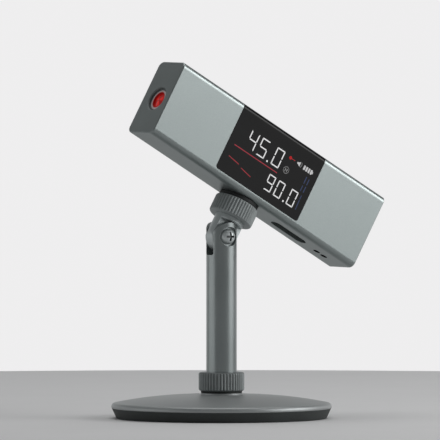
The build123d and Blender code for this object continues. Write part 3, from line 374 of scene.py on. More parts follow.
def dust_group():
    """Mask of sparse fine specks and faint films, thickest on faces that look up."""
    tree, given, made = new_group(
        "settled_dust",
        [("Vector", "Vector", None), ("Specks", "Float", 2200.0), ("Amount", "Float", 0.3)],
        [("Mask", "Float")])
    lie = remap(tree, part_of(tree, surface_normal(tree), "Z"), 0.1, 0.95)
    film = remap(tree, noise(tree, given["Vector"], scale=120.0, detail=4.0), 0.45, 0.75)
    speck = remap(tree, noise(tree, given["Vector"], given["Specks"], detail=1.0), 0.66, 0.74)
    cover = calc(tree, "MAXIMUM", speck, product(tree, film, FILM_SHARE))
    feed(tree, made, Mask=product(tree, cover, lie, given["Amount"]))
    return tree


def level_axes_group():
    """Object coordinates turned to the level's own axes, from the pivot."""
    tree, _, made = new_group("level_axes", [], [("Vector", "Vector")])
    inputs = {"Vector": object_place(tree), "Center": PIVOT, "Axis": (0, 1, 0),
              "Angle": -LEVEL_TILT}
    turned = add(tree, "VectorRotate", inputs, rotation_type="AXIS_ANGLE").outputs["Vector"]
    shift = add(tree, "VectorMath", {0: turned, 1: PIVOT}, operation="SUBTRACT")
    feed(tree, made, Vector=shift.outputs["Vector"])
    return tree


def round_axis_group():
    """Distance from an axis and turn about it, for two coordinates across the axis."""
    tree, given, made = new_group(
        "round_axis", [("Across", "Float", 0.0), ("Upward", "Float", 0.0)],
        [("Distance", "Float"), ("Turn", "Float")])
    squares = [calc(tree, "POWER", given[label], 2.0) for label in ("Across", "Upward")]
    feed(tree, made,
         Distance=calc(tree, "SQRT", calc(tree, "ADD", *squares)),
         Turn=calc(tree, "ARCTAN2", given["Upward"], given["Across"]))
    return tree


SATIN_GRAIN = satin_grain_group()
EDGE_RUB = edge_rub_group()
DUST = dust_group()
LEVEL_AXES = level_axes_group()
ROUND_AXIS = round_axis_group()


# Coordinates: each is a function that places its nodes in a material and gives the socket

def plain_axis(axis):
    """Coordinate along one of the stand's axes."""
    return lambda tree: part_of(tree, object_place(tree), axis)


def level_axis(axis):
    """Coordinate along one of the level's axes."""
    return lambda tree: part_of(tree, use_group(tree, LEVEL_AXES)["Vector"], axis)


def counted_from(place, axis):
    """Coordinate along an axis, counted from a place on it."""
    return lambda tree: calc(tree, "SUBTRACT", axis(tree), place)


def round_axis(tree, across, upward):
    """Distance from an axis and turn about it, from two coordinates across the axis."""
    return use_group(tree, ROUND_AXIS, Across=across(tree), Upward=upward(tree))


def laser_axis(tree):
    """Distance from the laser's axis and turn about it."""
    return round_axis(tree, laser_across, laser_upward)


laser_across = counted_from(LASER_DEPTH, level_axis("Y"))
laser_upward = counted_from(LASER_HEIGHT, level_axis("Z"))


# Materials

def sockets_of(material):
    """Node tree of a material and the sockets of its shader."""
    tree = material.node_tree
    return tree, tree.nodes["Principled BSDF"].inputs


def new_material(name, **plain_values):
    """Material with a Principled shader; plain values go on its own sockets."""
    material = bpy.data.materials.new(name)
    material.use_nodes = True
    tree, shader = sockets_of(material)
    feed(tree, shader, **plain_values)
    return material, tree, shader


def source(socket):
    """What a linked socket takes its value from."""
    return socket.links[0].from_socket


def satin_metal(name, light, dark, smooth, rough, rub, metallic=0.9):
    """Bead-blasted, anodised aluminium with slightly rubbed edges."""
    material, tree, shader = new_material(name, Metallic=metallic)
    place = object_place(tree)
    grain = use_group(tree, SATIN_GRAIN, Vector=place, Light=light, Dark=dark,
                      Grain=METAL_GRAIN, Drift=METAL_DRIFT, Smooth=smooth, Rough=rough)
    edge = use_group(tree, EDGE_RUB, Vector=place, Radius=0.25 * MM)["Mask"]
    dust = use_group(tree, DUST, Vector=place, Amount=0.1)["Mask"]
    rubbed = blend_colour(tree, product(tree, edge, rub), grain["Colour"], RUBBED_METAL)
    feed(tree, shader,
         Base_Color=blend_colour(tree, dust, rubbed, DUST_ON_METAL),
         Roughness=calc(tree, "MULTIPLY_ADD", dust, DUST_DULLER, grain["Roughness"]),
         Normal=bump(tree, grain["Height"], strength=0.015, distance=0.03 * MM))
    return material


def anodised_sleeve(name="anodised_sleeve"):
    return satin_metal(name, light=(0.284, 0.317, 0.314, 1), dark=(0.25, 0.281, 0.278, 1),
                       smooth=0.34, rough=0.4, rub=0.15)


def anodised_cap():
    """End cap finished like the sleeve, with painted shade and a duller finish in the laser's opening."""
    material = anodised_sleeve("anodised_cap")
    tree, shader = sockets_of(material)
    # Painted shade: everything within the radius of the laser's opening is darkened in colour
    edge = remap(tree, laser_axis(tree)["Distance"], OPENING_EDGE, OPENING_EDGE - OPENING_BLUR)
    metal, finish = source(shader["Base Color"]), source(shader["Roughness"])
    feed(tree, shader,
         Base_Color=blend_colour(tree, product(tree, edge, OPENING_DARKER), metal, OPENING_SHADE),
         Roughness=calc(tree, "MULTIPLY_ADD", edge, OPENING_DULLER, finish))
    return material


def anodised_housing():
    """Sleeve finish with painted shade in the lanyard holes and in a thin ring around their rims, which are also
    duller.
    """
    material = anodised_sleeve("anodised_housing")
    tree, shader = sockets_of(material)
    metal, finish = source(shader["Base Color"]), source(shader["Roughness"])
    low = calc(tree, "LESS_THAN", level_axis("Z")(tree), UNDERSIDE + HOLE_DEPTH)
    for mount in frame["record"]["mounts"]:
        if mount["kind"] != "bore":
            continue
        along = (Vector(mount["pos_m"]) - PIVOT).dot(LEVEL_ALONG)
        axis = round_axis(tree, counted_from(along, level_axis("X")), level_axis("Y"))
        rim = mount["dims"]["r_mm"] * MM + HOLE_RIM
        # Painted shade: the holes' walls and a thin ring just outside each hole are darkened in colour
        hole = product(tree, remap(tree, axis["Distance"], rim, rim - HOLE_BLUR), low)
        metal = blend_colour(tree, hole, metal, HOLE_SHADE)
        finish = calc(tree, "MULTIPLY_ADD", hole, HOLE_DULLER, finish)
    feed(tree, shader, Base_Color=metal, Roughness=finish)
    return material


def anodised_post():
    return satin_metal("anodised_post", light=(0.281, 0.308, 0.307, 1),
                       dark=(0.246, 0.271, 0.27, 1), smooth=0.29, rough=0.35, rub=0.3)


# A lighter copy of the anodised finish: the tilt head's colour is raised to paint in light falling on it
def anodised_head():
    return satin_metal("anodised_head", light=(0.515, 0.555, 0.555, 1),
                       dark=(0.461, 0.497, 0.497, 1), smooth=0.45, rough=0.52, rub=0.2,
                       metallic=0.75)


def anodised_base():
    return satin_metal("anodised_base", light=(0.365, 0.383, 0.383, 1),
                       dark=(0.325, 0.343, 0.343, 1), smooth=0.45, rough=0.51, rub=0.05,
                       metallic=0.7)


def ring_radius():
    low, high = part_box("lower_lock_ring")
    return (high.y - low.y) / 2


def knurled_metal(name, light, dark, most_valley_shade, across, upward):
    """Anodised ring with painted shade in the valleys of its knurl, which are also a little duller."""
    material, tree, shader = new_material(name, Metallic=0.45)
    place = object_place(tree)
    grain = use_group(tree, SATIN_GRAIN, Vector=place, Light=light, Dark=dark,
                      Grain=METAL_GRAIN, Drift=RING_DRIFT, Smooth=0.5, Rough=0.58)
    distance = round_axis(tree, across, upward)["Distance"]
    outside = ring_radius()
    valley = remap(tree, distance, outside - RIDGE_CREST, outside - RIDGE_RISE)
    ring_side = remap(tree, distance, outside - RIDGE_ROOT, outside - RIDGE_RISE)
    # Painted shade: the knurl's valleys are darkened in colour, by an amount that varies with a noise
    valley_shade_amount = remap(tree, noise(tree, place, scale=500.0, detail=3.0), 0.3, 0.65,
                  VALLEY_SHADE_LEAST * most_valley_shade, most_valley_shade)
    painted_shade = product(tree, valley, ring_side, valley_shade_amount)
    feed(tree, shader,
         Base_Color=blend_colour(tree, painted_shade, grain["Colour"], VALLEY_SHADE),
         Roughness=calc(tree, "MULTIPLY_ADD", painted_shade, VALLEY_DULLER, grain["Roughness"]),
         Normal=bump(tree, grain["Height"], strength=0.05, distance=0.03 * MM))
    return material


# The two rings share one finish: the lower copy is painted darker with more valley shade, and the upper copy
# lighter, for the light each ring gets
def lower_knurl():
    return knurled_metal("lower_knurl", light=(0.28, 0.305, 0.305, 1),
                         dark=(0.248, 0.27, 0.27, 1), most_valley_shade=0.85,
                         across=plain_axis("X"), upward=plain_axis("Y"))


def upper_knurl():
    return knurled_metal("upper_knurl", light=(0.316, 0.344, 0.344, 1),
                         dark=(0.28, 0.305, 0.305, 1), most_valley_shade=0.35,
                         across=level_axis("X"), upward=level_axis("Y"))


def black_rubber(name, light, dark):
    """Matt rubber with a fine moulded texture and pale scuffs."""
    material, tree, shader = new_material(name, Specular_IOR_Level=0.3)
    place = object_place(tree)
    grain = use_group(tree, SATIN_GRAIN, Vector=place, Light=light, Dark=dark,
                      Grain=2600.0, Drift=80.0, Smooth=0.55, Rough=0.72)
    edge = use_group(tree, EDGE_RUB, Vector=place, Radius=0.4 * MM)["Mask"]
    dust = use_group(tree, DUST, Vector=place, Amount=0.12)["Mask"]
    scuff = calc(tree, "MAXIMUM", product(tree, edge, RUBBER_RUB), dust)
    feed(tree, shader,
         Base_Color=blend_colour(tree, scuff, grain["Colour"], SCUFFED_RUBBER),
         Roughness=grain["Roughness"],
         Normal=bump(tree, grain["Height"], strength=0.3, distance=0.05 * MM))
    return material


def foot_rubber():
    return black_rubber("foot_rubber", light=(0.049, 0.054, 0.053, 1),
                        dark=(0.034, 0.038, 0.037, 1))


# A darker copy of the foot's rubber: painted shade for the washers, which sit between the parts
def washer_rubber():
    return black_rubber("washer_rubber", light=(0.024, 0.027, 0.027, 1),
                        dark=(0.015, 0.017, 0.017, 1))


def turned_metal(name, light, dark, across, upward, pitch, smooth, rough, metallic=1.0):
    """Bright turned metal with fine rings about its axis."""
    material, tree, shader = new_material(name, Metallic=metallic)
    place = object_place(tree)
    distance = round_axis(tree, across, upward)["Distance"]
    wander = product(tree, noise(tree, place, scale=1500.0), TURNING_WANDER * pitch)
    phase = product(tree, calc(tree, "ADD", distance, wander), 2 * pi / pitch)
    rings = calc(tree, "SINE", phase)
    ring_tone = remap(tree, rings, -1.0, 1.0)
    smear = noise(tree, place, scale=600.0, detail=4.0)
    tone = calc(tree, "ADD", product(tree, ring_tone, TURNING_SHARE),
                product(tree, smear, SMEAR_SHARE))
    feed(tree, shader,
         Base_Color=blend_colour(tree, tone, dark, light),
         Roughness=remap(tree, tone, 0.2, 0.8, smooth, rough),
         Normal=bump(tree, rings, strength=0.03, distance=0.005 * MM))
    return material


def pivot_steel():
    """Satin screw steel with painted shade in the cross recess on the display's side."""
    across = plain_axis("X")
    upward = counted_from(PIVOT.z, plain_axis("Z"))
    material = turned_metal("pivot_steel", light=(0.6, 0.64, 0.64, 1), dark=(0.53, 0.565, 0.565, 1),
                            across=across, upward=upward, pitch=0.22 * MM,
                            smooth=0.48, rough=0.56, metallic=0.75)
    tree, shader = sockets_of(material)
    # Painted shade: the cross recess of the head is darkened in colour, a little unevenly
    sides = [calc(tree, "ABSOLUTE", axis(tree)) for axis in (across, upward)]
    arm, end = RECESS_ARM / 2, RECESS_LENGTH / 2
    near_arm = remap(tree, calc(tree, "MINIMUM", *sides), arm + RECESS_BLUR, arm)
    near_middle = remap(tree, calc(tree, "MAXIMUM", *sides), end + RECESS_BLUR, end)
    shade = remap(tree, noise(tree, object_place(tree), scale=1200.0), *NOISE_SPAN, 0.75, 0.9)
    head = calc(tree, "LESS_THAN", plain_axis("Y")(tree), PIVOT.y)
    recess = product(tree, near_arm, near_middle, shade, head)
    steel = source(shader["Base Color"])
    feed(tree, shader, Base_Color=blend_colour(tree, recess, steel, RECESS_SHADE))
    return material


def stud_steel():
    return turned_metal("stud_steel", light=(0.62, 0.63, 0.64, 1), dark=(0.4, 0.41, 0.42, 1),
                        across=plain_axis("X"), upward=plain_axis("Y"), pitch=0.5 * MM,
                        smooth=0.24, rough=0.36)


def brass():
    return turned_metal("turned_brass", light=(0.76, 0.6, 0.32, 1), dark=(0.5, 0.37, 0.17, 1),
                        across=plain_axis("X"), upward=plain_axis("Y"), pitch=0.4 * MM,
                        smooth=0.22, rough=0.38)


def laser_barrel_metal():
    """Turned barrel with the lens's red glow painted on its lip."""
    material = turned_metal("laser_barrel_metal", light=(0.74, 0.6, 0.6, 1),
                            dark=(0.58, 0.46, 0.46, 1), across=laser_across, upward=laser_upward,
                            pitch=0.3 * MM, smooth=0.45, rough=0.6, metallic=0.4)
    tree, shader = sockets_of(material)
    distance = laser_axis(tree)["Distance"]
    # Painted glow: the lip nearest the lens is coloured red, as if lit by the lens
    glow = remap(tree, distance, LENS_GLOW_EDGE + LENS_GLOW_BLUR, LENS_GLOW_EDGE)
    metal = source(shader["Base Color"])
    feed(tree, shader, Base_Color=blend_colour(tree, glow, metal, LENS_GLOW))
    return material


def display_window():
    """Gloss black window with faint wiping marks and fine dust."""
    material, tree, shader = new_material("display_window", Specular_IOR_Level=0.1, IOR=1.45)
    along = use_group(tree, LEVEL_AXES)["Vector"]
    stretch = add(tree, "Mapping", {"Vector": along, "Scale": (30.0, 30.0, 160.0)})
    wipe = remap(tree, noise(tree, stretch.outputs["Vector"], scale=1.0, detail=4.0), 0.35, 0.75)
    dust = use_group(tree, DUST, Vector=object_place(tree), Amount=0.16)["Mask"]
    tint = blend_colour(tree, wipe, (0.003, 0.003, 0.0031, 1), (0.0055, 0.0055, 0.0057, 1))
    feed(tree, shader,
         Base_Color=blend_colour(tree, dust, tint, DUST_ON_WINDOW),
         Roughness=remap(tree, wipe, *FULL_SPAN, 0.06, 0.1))
    return material


def lit_figure(name, bright, dim):
    """Lit display element: an uneven glow under the window's gloss."""
    material, tree, shader = new_material(name, Specular_IOR_Level=0.1, Roughness=0.08,
                                          Emission_Strength=1.0)
    glow = remap(tree, noise(tree, object_place(tree), scale=900.0), *NOISE_SPAN)
    unlit = blend_colour(tree, glow, (0.006, 0.006, 0.006, 1), (0.009, 0.009, 0.009, 1))
    feed(tree, shader, Emission_Color=blend_colour(tree, glow, dim, bright), Base_Color=unlit)
    return material


def laser_lens_glass():
    """Red lens with the laser's glow broken up inside it."""
    material, tree, shader = new_material("laser_lens_glass", Roughness=0.12, Coat_Weight=0.2,
                                          Coat_Roughness=0.05, Emission_Strength=0.5)
    axis = laser_axis(tree)
    fan = calc(tree, "SINE", product(tree, axis["Turn"], LENS_FACETS))
    swirl = noise(tree, object_place(tree), scale=620.0, detail=3.0, rough=0.5, distortion=1.2)
    facet = remap(tree, calc(tree, "ADD", product(tree, fan, FAN_SHARE), swirl), 0.35, 0.75)
    glow = blend_colour(tree, facet, (0.3, 0.003, 0.002, 1), (0.72, 0.02, 0.017, 1))
    rim = remap(tree, axis["Distance"], LENS_CORE, LENS_RIM)
    feed(tree, shader,
         Emission_Color=blend_colour(tree, rim, glow, LENS_RIM_GLOW),
         Base_Color=blend_colour(tree, facet, (0.16, 0.003, 0.002, 1), (0.3, 0.008, 0.006, 1)))
    return material


def moulded_plastic(name, light, dark, smooth, rough):
    """Moulded plastic with a fine spark texture and rubbed edges."""
    material, tree, shader = new_material(name, Specular_IOR_Level=0.4)
    place = object_place(tree)
    grain = use_group(tree, SATIN_GRAIN, Vector=place, Light=light, Dark=dark,
                      Grain=3400.0, Drift=70.0, Smooth=smooth, Rough=rough)
    edge = use_group(tree, EDGE_RUB, Vector=place, Radius=0.2 * MM)["Mask"]
    rub = product(tree, edge, PLASTIC_RUB)
    feed(tree, shader,
         Base_Color=blend_colour(tree, rub, grain["Colour"], RUBBED_PLASTIC),
         Roughness=grain["Roughness"],
         Normal=bump(tree, grain["Height"], strength=0.25, distance=0.03 * MM))
    return material


def frame_plastic():
    return moulded_plastic("frame_plastic", light=(0.055, 0.055, 0.06, 1),
                           dark=(0.038, 0.038, 0.042, 1), smooth=0.45, rough=0.6)


def key_plastic():
    return moulded_plastic("key_plastic", light=(0.032, 0.034, 0.036, 1),
                           dark=(0.022, 0.024, 0.026, 1), smooth=0.36, rough=0.5)


def chip_black():
    return moulded_plastic("chip_black", light=(0.026, 0.026, 0.028, 1),
                           dark=(0.016, 0.016, 0.018, 1), smooth=0.5, rough=0.65)


def foam():
    """Closed-cell foam with open pores on its cut faces."""
    material, tree, shader = new_material("gasket_foam", Roughness=0.95, Specular_IOR_Level=0.1)
    pore = remap(tree, cells(tree, object_place(tree), scale=4500.0), 0.1, 0.6)
    feed(tree, shader,
         Base_Color=blend_colour(tree, pore, (0.012, 0.012, 0.012, 1), (0.04, 0.04, 0.04, 1)),
         Normal=bump(tree, pore, strength=0.5, distance=0.08 * MM))
    return material


def front_plane(tree, vector):
    """The level's coordinates turned so that a flat pattern lies along its front."""
    inputs = {"Vector": vector, "Rotation": (radians(90), 0, 0)}
    return add(tree, "Mapping", inputs).outputs["Vector"]


def display_glass():
    """Dark display panel with faint cells across it."""
    material, tree, shader = new_material("display_glass", Specular_IOR_Level=0.5)
    vector = use_group(tree, LEVEL_AXES)["Vector"]
    inputs = {"Vector": front_plane(tree, vector), "Scale": 400.0, "Mortar Size": 0.04}
    line = add(tree, "TexBrick", inputs, offset=0.0).outputs["Fac"]
    feed(tree, shader,
         Base_Color=blend_colour(tree, line, (0.028, 0.028, 0.033, 1), (0.05, 0.05, 0.056, 1)),
         Roughness=remap(tree, noise(tree, vector, scale=200.0), *NOISE_SPAN, 0.06, 0.14))
    return material


def diffuser():
    """Milky light panel with a fine dot print."""
    material, tree, shader = new_material("light_diffuser", Roughness=0.5)
    dot = remap(tree, cells(tree, object_place(tree), scale=1400.0, randomness=0.2), 0.18, 0.3)
    feed(tree, shader,
         Base_Color=blend_colour(tree, dot, (0.9, 0.9, 0.88, 1), (0.74, 0.74, 0.71, 1)))
    return material


def clear_glass():
    """Polished lens glass with a faint coating tint."""
    material, tree, shader = new_material("clear_glass", Transmission_Weight=0.9, IOR=1.5)
    place = object_place(tree)
    coat = remap(tree, noise(tree, place, scale=180.0), *NOISE_SPAN)
    feed(tree, shader,
         Base_Color=blend_colour(tree, coat, (0.78, 0.84, 0.9, 1), (0.86, 0.84, 0.92, 1)),
         Roughness=remap(tree, noise(tree, place, scale=700.0), *NOISE_SPAN, 0.02, 0.06))
    return material


def circuit_board():
    """Green solder mask over copper tracks, with bare pads."""
    material, tree, shader = new_material("circuit_board", Roughness=0.35, Specular_IOR_Level=0.5)
    plane = front_plane(tree, use_group(tree, LEVEL_AXES)["Vector"])
    edges = cells(tree, plane, scale=700.0, randomness=0.75, feature="DISTANCE_TO_EDGE")
    track = remap(tree, edges, 0.03, 0.07)
    pad = remap(tree, cells(tree, plane, scale=520.0), 0.16, 0.12)
    mask = blend_colour(tree, track, (0.05, 0.24, 0.11, 1), (0.024, 0.14, 0.06, 1))
    feed(tree, shader,
         Base_Color=blend_colour(tree, pad, mask, PAD_GOLD),
         Metallic=product(tree, pad, PAD_METALLIC),
         Normal=bump(tree, track, strength=0.2, distance=0.03 * MM))
    return material


def cell_foil():
    """Crinkled pouch foil."""
    material, tree, shader = new_material("cell_foil", Metallic=0.8)
    crease = noise(tree, object_place(tree), scale=260.0, detail=5.0, rough=0.6, distortion=0.8)
    feed(tree, shader,
         Base_Color=blend_colour(tree, crease, (0.26, 0.28, 0.31, 1), (0.42, 0.44, 0.48, 1)),
         Roughness=remap(tree, crease, *NOISE_SPAN, 0.25, 0.42),
         Normal=bump(tree, crease, strength=0.35, distance=0.15 * MM))
    return material


def wire_jacket():
    """Soft red insulation with a faint drawn sheen."""
    material, tree, shader = new_material("wire_jacket", Specular_IOR_Level=0.45)
    tone = remap(tree, noise(tree, object_place(tree), scale=900.0, detail=3.0), *NOISE_SPAN)
    feed(tree, shader,
         Base_Color=blend_colour(tree, tone, (0.36, 0.02, 0.02, 1), (0.5, 0.035, 0.035, 1)),
         Roughness=remap(tree, tone, *FULL_SPAN, 0.35, 0.5))
    return material


def floor_finish():
    """Pale studio table with a barely visible tone."""
    material, tree, shader = new_material("studio_floor", Specular_IOR_Level=0.1)
    tone = remap(tree, noise(tree, object_place(tree), scale=30.0, detail=3.0), *NOISE_SPAN)
    pale = tuple(channel * FLOOR_DRIFT for channel in FLOOR_COLOUR[:3]) + (1,)
    feed(tree, shader,
         Base_Color=blend_colour(tree, tone, FLOOR_COLOUR, pale),
         Roughness=remap(tree, tone, *FULL_SPAN, 0.75, 0.85))
    return material


def dress_nodes():
    """Give every node its finish: by its own name first, then by its slot in the record."""
    by_node = {
        "level_sleeve": anodised_housing(),
        "left_end_cap": anodised_cap(),
        "right_end_cap": anodised_sleeve(),
        "lower_lock_ring": lower_knurl(),
        "upper_lock_ring": upper_knurl(),
        "pivot_screw": pivot_steel(),
        "tilt_head": anodised_head(),
        "base_foot": foot_rubber(),
    }
    by_slot = {
        "anodised_grey": anodised_post(),
        "base_paint": anodised_base(),
        "black_rubber": washer_rubber(),
        "foam": foam(),
        "steel": stud_steel(),
        "brass": brass(),
        "barrel_metal": laser_barrel_metal(),
        "window": display_window(),
        "red_glass": laser_lens_glass(),
        "clear_glass": clear_glass(),
        "display_glass": display_glass(),
        "diffuser": diffuser(),
        "circuit_board": circuit_board(),
        "chip_black": chip_black(),
        "frame_plastic": frame_plastic(),
        "key_plastic": key_plastic(),
        "cell_foil": cell_foil(),
        "wire_jacket": wire_jacket(),
    }
    for part in frame["record"]["subparts"]:
        name = part["node"]
        finish = by_node.get(name) or by_slot[part["material_slot"]]
        mesh = frame["nodes"][name].data
        mesh.materials.clear()
        mesh.materials.append(finish)


# Display figures, modelled flat and then set on the window

def make_active(piece):
    bpy.ops.object.select_all(action="DESELECT")
    piece.select_set(True)
    bpy.context.view_layer.objects.active = piece


def sheet(width, height):
    """Flat sheet centred on the origin, left in edit mode with nothing selected."""
    bpy.ops.object.select_all(action="DESELECT")
    bpy.ops.mesh.primitive_plane_add(size=MM)
    piece = bpy.context.object
    piece.scale = (width, height, 1.0)
    bpy.ops.object.transform_apply(location=False, rotation=False, scale=True)
    bpy.ops.object.mode_set(mode="EDIT")
    bpy.ops.mesh.select_all(action="DESELECT")
    return piece


def pick(piece, chosen):
    """Select a piece's vertices by their place, then go on in edit mode."""
    bpy.ops.mesh.select_all(action="DESELECT")
    bpy.ops.object.mode_set(mode="OBJECT")
    for vertex in piece.data.vertices:
        vertex.select = chosen(vertex.co)
    bpy.ops.object.mode_set(mode="EDIT")


def thicken(piece):
    """Leave edit mode and give a flat sheet its thickness, outward from the window."""
    bpy.ops.object.mode_set(mode="OBJECT")
    make_active(piece)
    wall = piece.modifiers.new("thickness", "SOLIDIFY")
    wall.thickness = FIGURE_PROUD * MM
    wall.offset = 1.0
    bpy.ops.object.modifier_apply(modifier=wall.name)
    return piece


def rail_segment(length, stroke):
    """Segment along the top of a digit, mitred at both ends."""
    rail = sheet(length, stroke)
    pick(rail, lambda place: place.y < 0)
    short = (length - 2 * stroke) / length
    bpy.ops.transform.resize(value=(short, 1, 1), center_override=(0, 0, 0))
    return thicken(rail)


def post_segment(side, rise, stroke):
    """Segment up one side of a digit's upper half, mitred at its top."""
    post = sheet(stroke, rise)
    pick(post, lambda place: place.x * side < 0 and place.y > 0)
    bpy.ops.transform.translate(value=(0, -stroke * MM, 0))
    return thicken(post)


def clipped_sheet(width, height, clip):
    """Sheet with its corners cut off, by a length along each side."""
    piece = sheet(width, height)
    bpy.ops.mesh.select_all(action="SELECT")
    bpy.ops.mesh.bevel(offset=clip * MM, affect="VERTICES")
    return thicken(piece)


def bar_segment(length, stroke):
    """Bar with pointed ends."""
    return clipped_sheet(length, stroke, BAR_POINT * stroke)


def block_mark(width, height):
    """Small block with its corners just broken."""
    return clipped_sheet(width, height, CORNER_BREAK * min(width, height))


def hoop(radius, width, turn):
    """Flat ring or arc about the origin, spun from one short edge and centred on +X."""
    ring = sheet(width, width)
    pick(ring, lambda place: place.y > 0)
    bpy.ops.mesh.delete(type="VERT")
    bpy.ops.mesh.select_all(action="SELECT")
    bpy.ops.transform.translate(value=(radius * MM, width / 2 * MM, 0))
    bpy.ops.mesh.spin(steps=ARC_STEPS, angle=turn, center=(0, 0, 0), axis=(0, 0, 1))
    bpy.ops.mesh.select_all(action="SELECT")
    bpy.ops.mesh.remove_doubles(threshold=WELD_GAP * MM)
    bpy.ops.mesh.normals_make_consistent(inside=False)
    bpy.ops.object.mode_set(mode="OBJECT")
    ring.data.transform(Matrix.Rotation(turn / 2, 4, "Z"))
    bpy.ops.object.mode_set(mode="EDIT")
    return thicken(ring)


def speaker_mark():
    """Sounder sign: a small box that flares to a cone."""
    sign = sheet(*SPEAKER_BOX)
    pick(sign, lambda place: place.x > 0)
    bpy.ops.mesh.extrude_edges_move(TRANSFORM_OT_translate={"value": (SPEAKER_CONE * MM, 0, 0)})
    bpy.ops.transform.resize(value=(1, SPEAKER_FLARE, 1), center_override=(0, 0, 0))
    return thicken(sign)


def stamp(pattern, along, up, turn=0.0):
    """Copy of a flat piece with its own mesh, set at a place of the display."""
    copy = pattern.copy()
    copy.data = pattern.data.copy()
    bpy.context.collection.objects.link(copy)
    move = Matrix.Translation((along * MM, up * MM, 0))
    copy.data.transform(move @ Matrix.Rotation(turn, 4, "Z"))
    return copy


def drop(*patterns):
    """Remove patterns that have been copied."""
    for pattern in patterns:
        bpy.data.objects.remove(pattern)


def stamp_once(pattern, along, up, turn=0.0):
    """Copy of a pattern that is needed at one place only."""
    copy = stamp(pattern, along, up, turn)
    drop(pattern)
    return copy


def set_on_window(name, pieces, finish):
    """Join flat pieces into one, set it on the window and let it ride with the level."""
    bpy.ops.object.select_all(action="DESELECT")
    for piece in pieces:
        piece.select_set(True)
    bpy.context.view_layer.objects.active = pieces[0]
    bpy.ops.object.join()
    figure = bpy.context.object
    figure.name = name
    figure.data.transform(DISPLAY)
    figure.data.materials.clear()
    figure.data.materials.append(finish)
    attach(figure, "level")


def digit_row(digits, size, point):
    """Seven-segment digits with their decimal point."""
    width, height, stroke = size
    rise = height / 2 - CORNER_GAP - MIDDLE_GAP / 2
    rail = rail_segment(width - 2 * CORNER_GAP, stroke)
    posts = {side: post_segment(side, rise, stroke) for side in (-1, 1)}
    bar = bar_segment(width - stroke - 2 * CORNER_GAP, stroke)
    pieces = [stamp_once(block_mark(POINT_SIZE, POINT_SIZE), *point)]
    for digit, along, up in digits:
        for letter in DIGITS[digit]:
            if letter == "g":
                pieces.append(stamp(bar, along, up))
                continue
            side, half = SEGMENTS[letter]
            turn = 0 if half > 0 else pi
            if side:
                across = along + side * (width - stroke) / 2
                level = up + half * (rise + MIDDLE_GAP) / 2
                pieces.append(stamp(posts[side * half], across, level, turn))
            else:
                pieces.append(stamp(rail, along, up + half * (height - stroke) / 2, turn))
    drop(rail, bar, *posts.values())
    return pieces


def strokes(runs, width):
    """Straight bars between pairs of points."""
    pieces = []
    for start, end in runs:
        run = Vector(end) - Vector(start)
        centre = (Vector(start) + Vector(end)) / 2
        bar = block_mark(run.length, width)
        pieces.append(stamp_once(bar, centre.x, centre.y, atan2(run.y, run.x)))
    return pieces


def laser_sign():
    """Spot with a short ray."""
    spot = stamp_once(hoop(RED_SPOT_RADIUS / 2, RED_SPOT_RADIUS, 2 * pi), *RED_SPOT)
    return [spot] + strokes((RED_TAIL,), RED_TAIL_WIDTH)


def charge_sign():
    """Row of charge bars with the cell's tip."""
    along, up = BATTERY_PLACE
    bar = block_mark(*BATTERY_BAR_SIZE)
    first = along - BATTERY_PITCH * (BATTERY_BARS - 1) / 2
    last = first + BATTERY_PITCH * (BATTERY_BARS - 1)
    pieces = [stamp(bar, first + BATTERY_PITCH * step, up) for step in range(BATTERY_BARS)]
    drop(bar)
    tip = last + (BATTERY_BAR_SIZE[0] + BATTERY_TIP_SIZE[0]) / 2
    pieces.append(stamp_once(block_mark(*BATTERY_TIP_SIZE), tip, up))
    return pieces


def sound_sign():
    return [stamp_once(speaker_mark(), *SPEAKER_PLACE)]


def sound_wave():
    """Arc beside the sounder."""
    return [stamp_once(hoop(WAVE_RADIUS, WAVE_WIDTH, radians(WAVE_TURN)), *WAVE_PLACE)]


def hold_sign():
    """Ring with an upright mark in it, for a held reading."""
    along, up = HOLD_PLACE
    width, height, stroke = HOLD_MARK_SIZE
    left, right = along - width / 2, along + width / 2
    low, high = up - height / 2, up + height / 2
    runs = (((left, low), (left, high)), ((right, low), (right, high)), ((left, up), (right, up)))
    ring = stamp_once(hoop(HOLD_RING_RADIUS, HOLD_RING_WIDTH, 2 * pi), along, up)
    return [ring] + strokes(runs, stroke)


def make_display():
    lit = {name: lit_figure(name, *tones) for name, tones in LIT_TONES.items()}
    upper = digit_row(UPPER_DIGITS, UPPER_DIGIT_SIZE, UPPER_POINT)
    set_on_window("upper_reading", upper, lit["lit_white"])
    lower = digit_row(LOWER_DIGITS, LOWER_DIGIT_SIZE, LOWER_POINT)
    set_on_window("lower_reading", lower, lit["lit_white"])
    set_on_window("level_line", strokes((RED_LINE,), RED_LINE_WIDTH), lit["lit_red"])
    set_on_window("tilt_line", strokes(RED_DASHES, RED_DASH_WIDTH), lit["lit_wine"])
    set_on_window("side_scale", strokes(BLUE_BARS, BLUE_BAR_WIDTH), lit["lit_blue"])
    set_on_window("laser_sign", laser_sign(), lit["lit_ember"])
    set_on_window("charge_sign", charge_sign(), lit["lit_soft"])
    set_on_window("sound_sign", sound_sign(), lit["lit_soft"])
    set_on_window("sound_wave", sound_wave(), lit["lit_grey"])
    set_on_window("hold_sign", hold_sign(), lit["lit_grey"])


# Studio

def toward(azimuth, elevation):
    """Direction at an azimuth, from the front to the right, and an elevation, in degrees."""
    turn, lift = radians(azimuth), radians(elevation)
    return Vector((cos(lift) * sin(turn), -cos(lift) * cos(turn), sin(lift)))


def aim(thing, place, target):
    """Set a camera or lamp at a place, looking at a target."""
    thing.location = place
    thing.rotation_euler = (target - place).to_track_quat("-Z", "Y").to_euler()


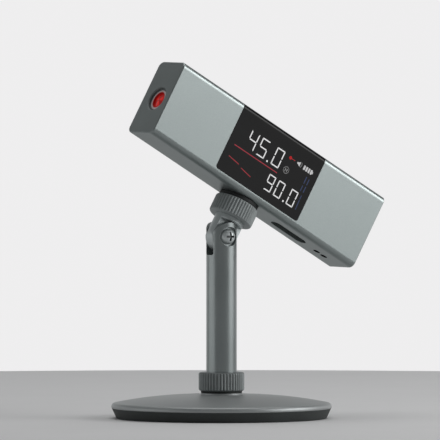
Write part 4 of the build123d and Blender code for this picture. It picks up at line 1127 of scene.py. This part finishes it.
def make_camera():
    back = toward(VIEW_AZIMUTH, VIEW_ELEVATION)
    right = Vector((0, 0, 1)).cross(back).normalized()
    target = right * AIM_RIGHT + Vector((0, 0, AIM_HEIGHT))
    lens = bpy.data.cameras.new("photo_camera")
    lens.sensor_width = SENSOR_WIDTH
    lens.lens = LENS_LENGTH
    camera = bpy.data.objects.new("photo_camera", lens)
    bpy.context.collection.objects.link(camera)
    distance = LENS_LENGTH / SENSOR_WIDTH * PICTURE_SIDE / PIXELS_PER_MM * MM
    aim(camera, target + back * distance, target)
    bpy.context.scene.camera = camera


def make_lamps():
    target = Vector((0, 0, AIM_HEIGHT))
    for name, (azimuth, elevation, distance, width, height, radiance) in SOFTBOXES.items():
        lamp = bpy.data.lights.new(name, "AREA")
        lamp.shape = "RECTANGLE"
        lamp.size = width
        lamp.size_y = height
        lamp.energy = radiance * pi * width * height
        softbox = bpy.data.objects.new(name, lamp)
        bpy.context.collection.objects.link(softbox)
        softbox.visible_camera = False
        aim(softbox, target + toward(azimuth, elevation) * distance, target)


def make_world():
    """Pale backdrop behind the object, dimmer towards the camera and overhead."""
    world = bpy.data.worlds.new("studio")
    bpy.context.scene.world = world
    world.use_nodes = True
    tree = world.node_tree
    direction = add(tree, "TexCoord").outputs["Generated"]
    vectors = {0: direction, 1: toward(VIEW_AZIMUTH + 180, 0)}
    facing = add(tree, "VectorMath", vectors, operation="DOT_PRODUCT").outputs["Value"]
    wall = blend_colour(tree, remap(tree, facing, *BACKDROP_FADE), BACKDROP_DIM, BACKDROP_PALE)
    ceiling = remap(tree, part_of(tree, direction, "Z"), *CEILING_FADE)
    room = blend_colour(tree, ceiling, wall, CEILING_GREY)
    feed(tree, tree.nodes["Background"].inputs, Color=room)


def make_floor():
    bpy.ops.object.select_all(action="DESELECT")
    bpy.ops.mesh.primitive_circle_add(vertices=FLOOR_SIDES, radius=FLOOR_RADIUS, fill_type="NGON")
    floor = bpy.context.object
    floor.name = "studio_floor"
    floor.data.materials.append(floor_finish())


dress_nodes()
make_display()
make_camera()
make_lamps()
make_world()
make_floor()
bpy.context.scene.view_settings.view_transform = "Standard"
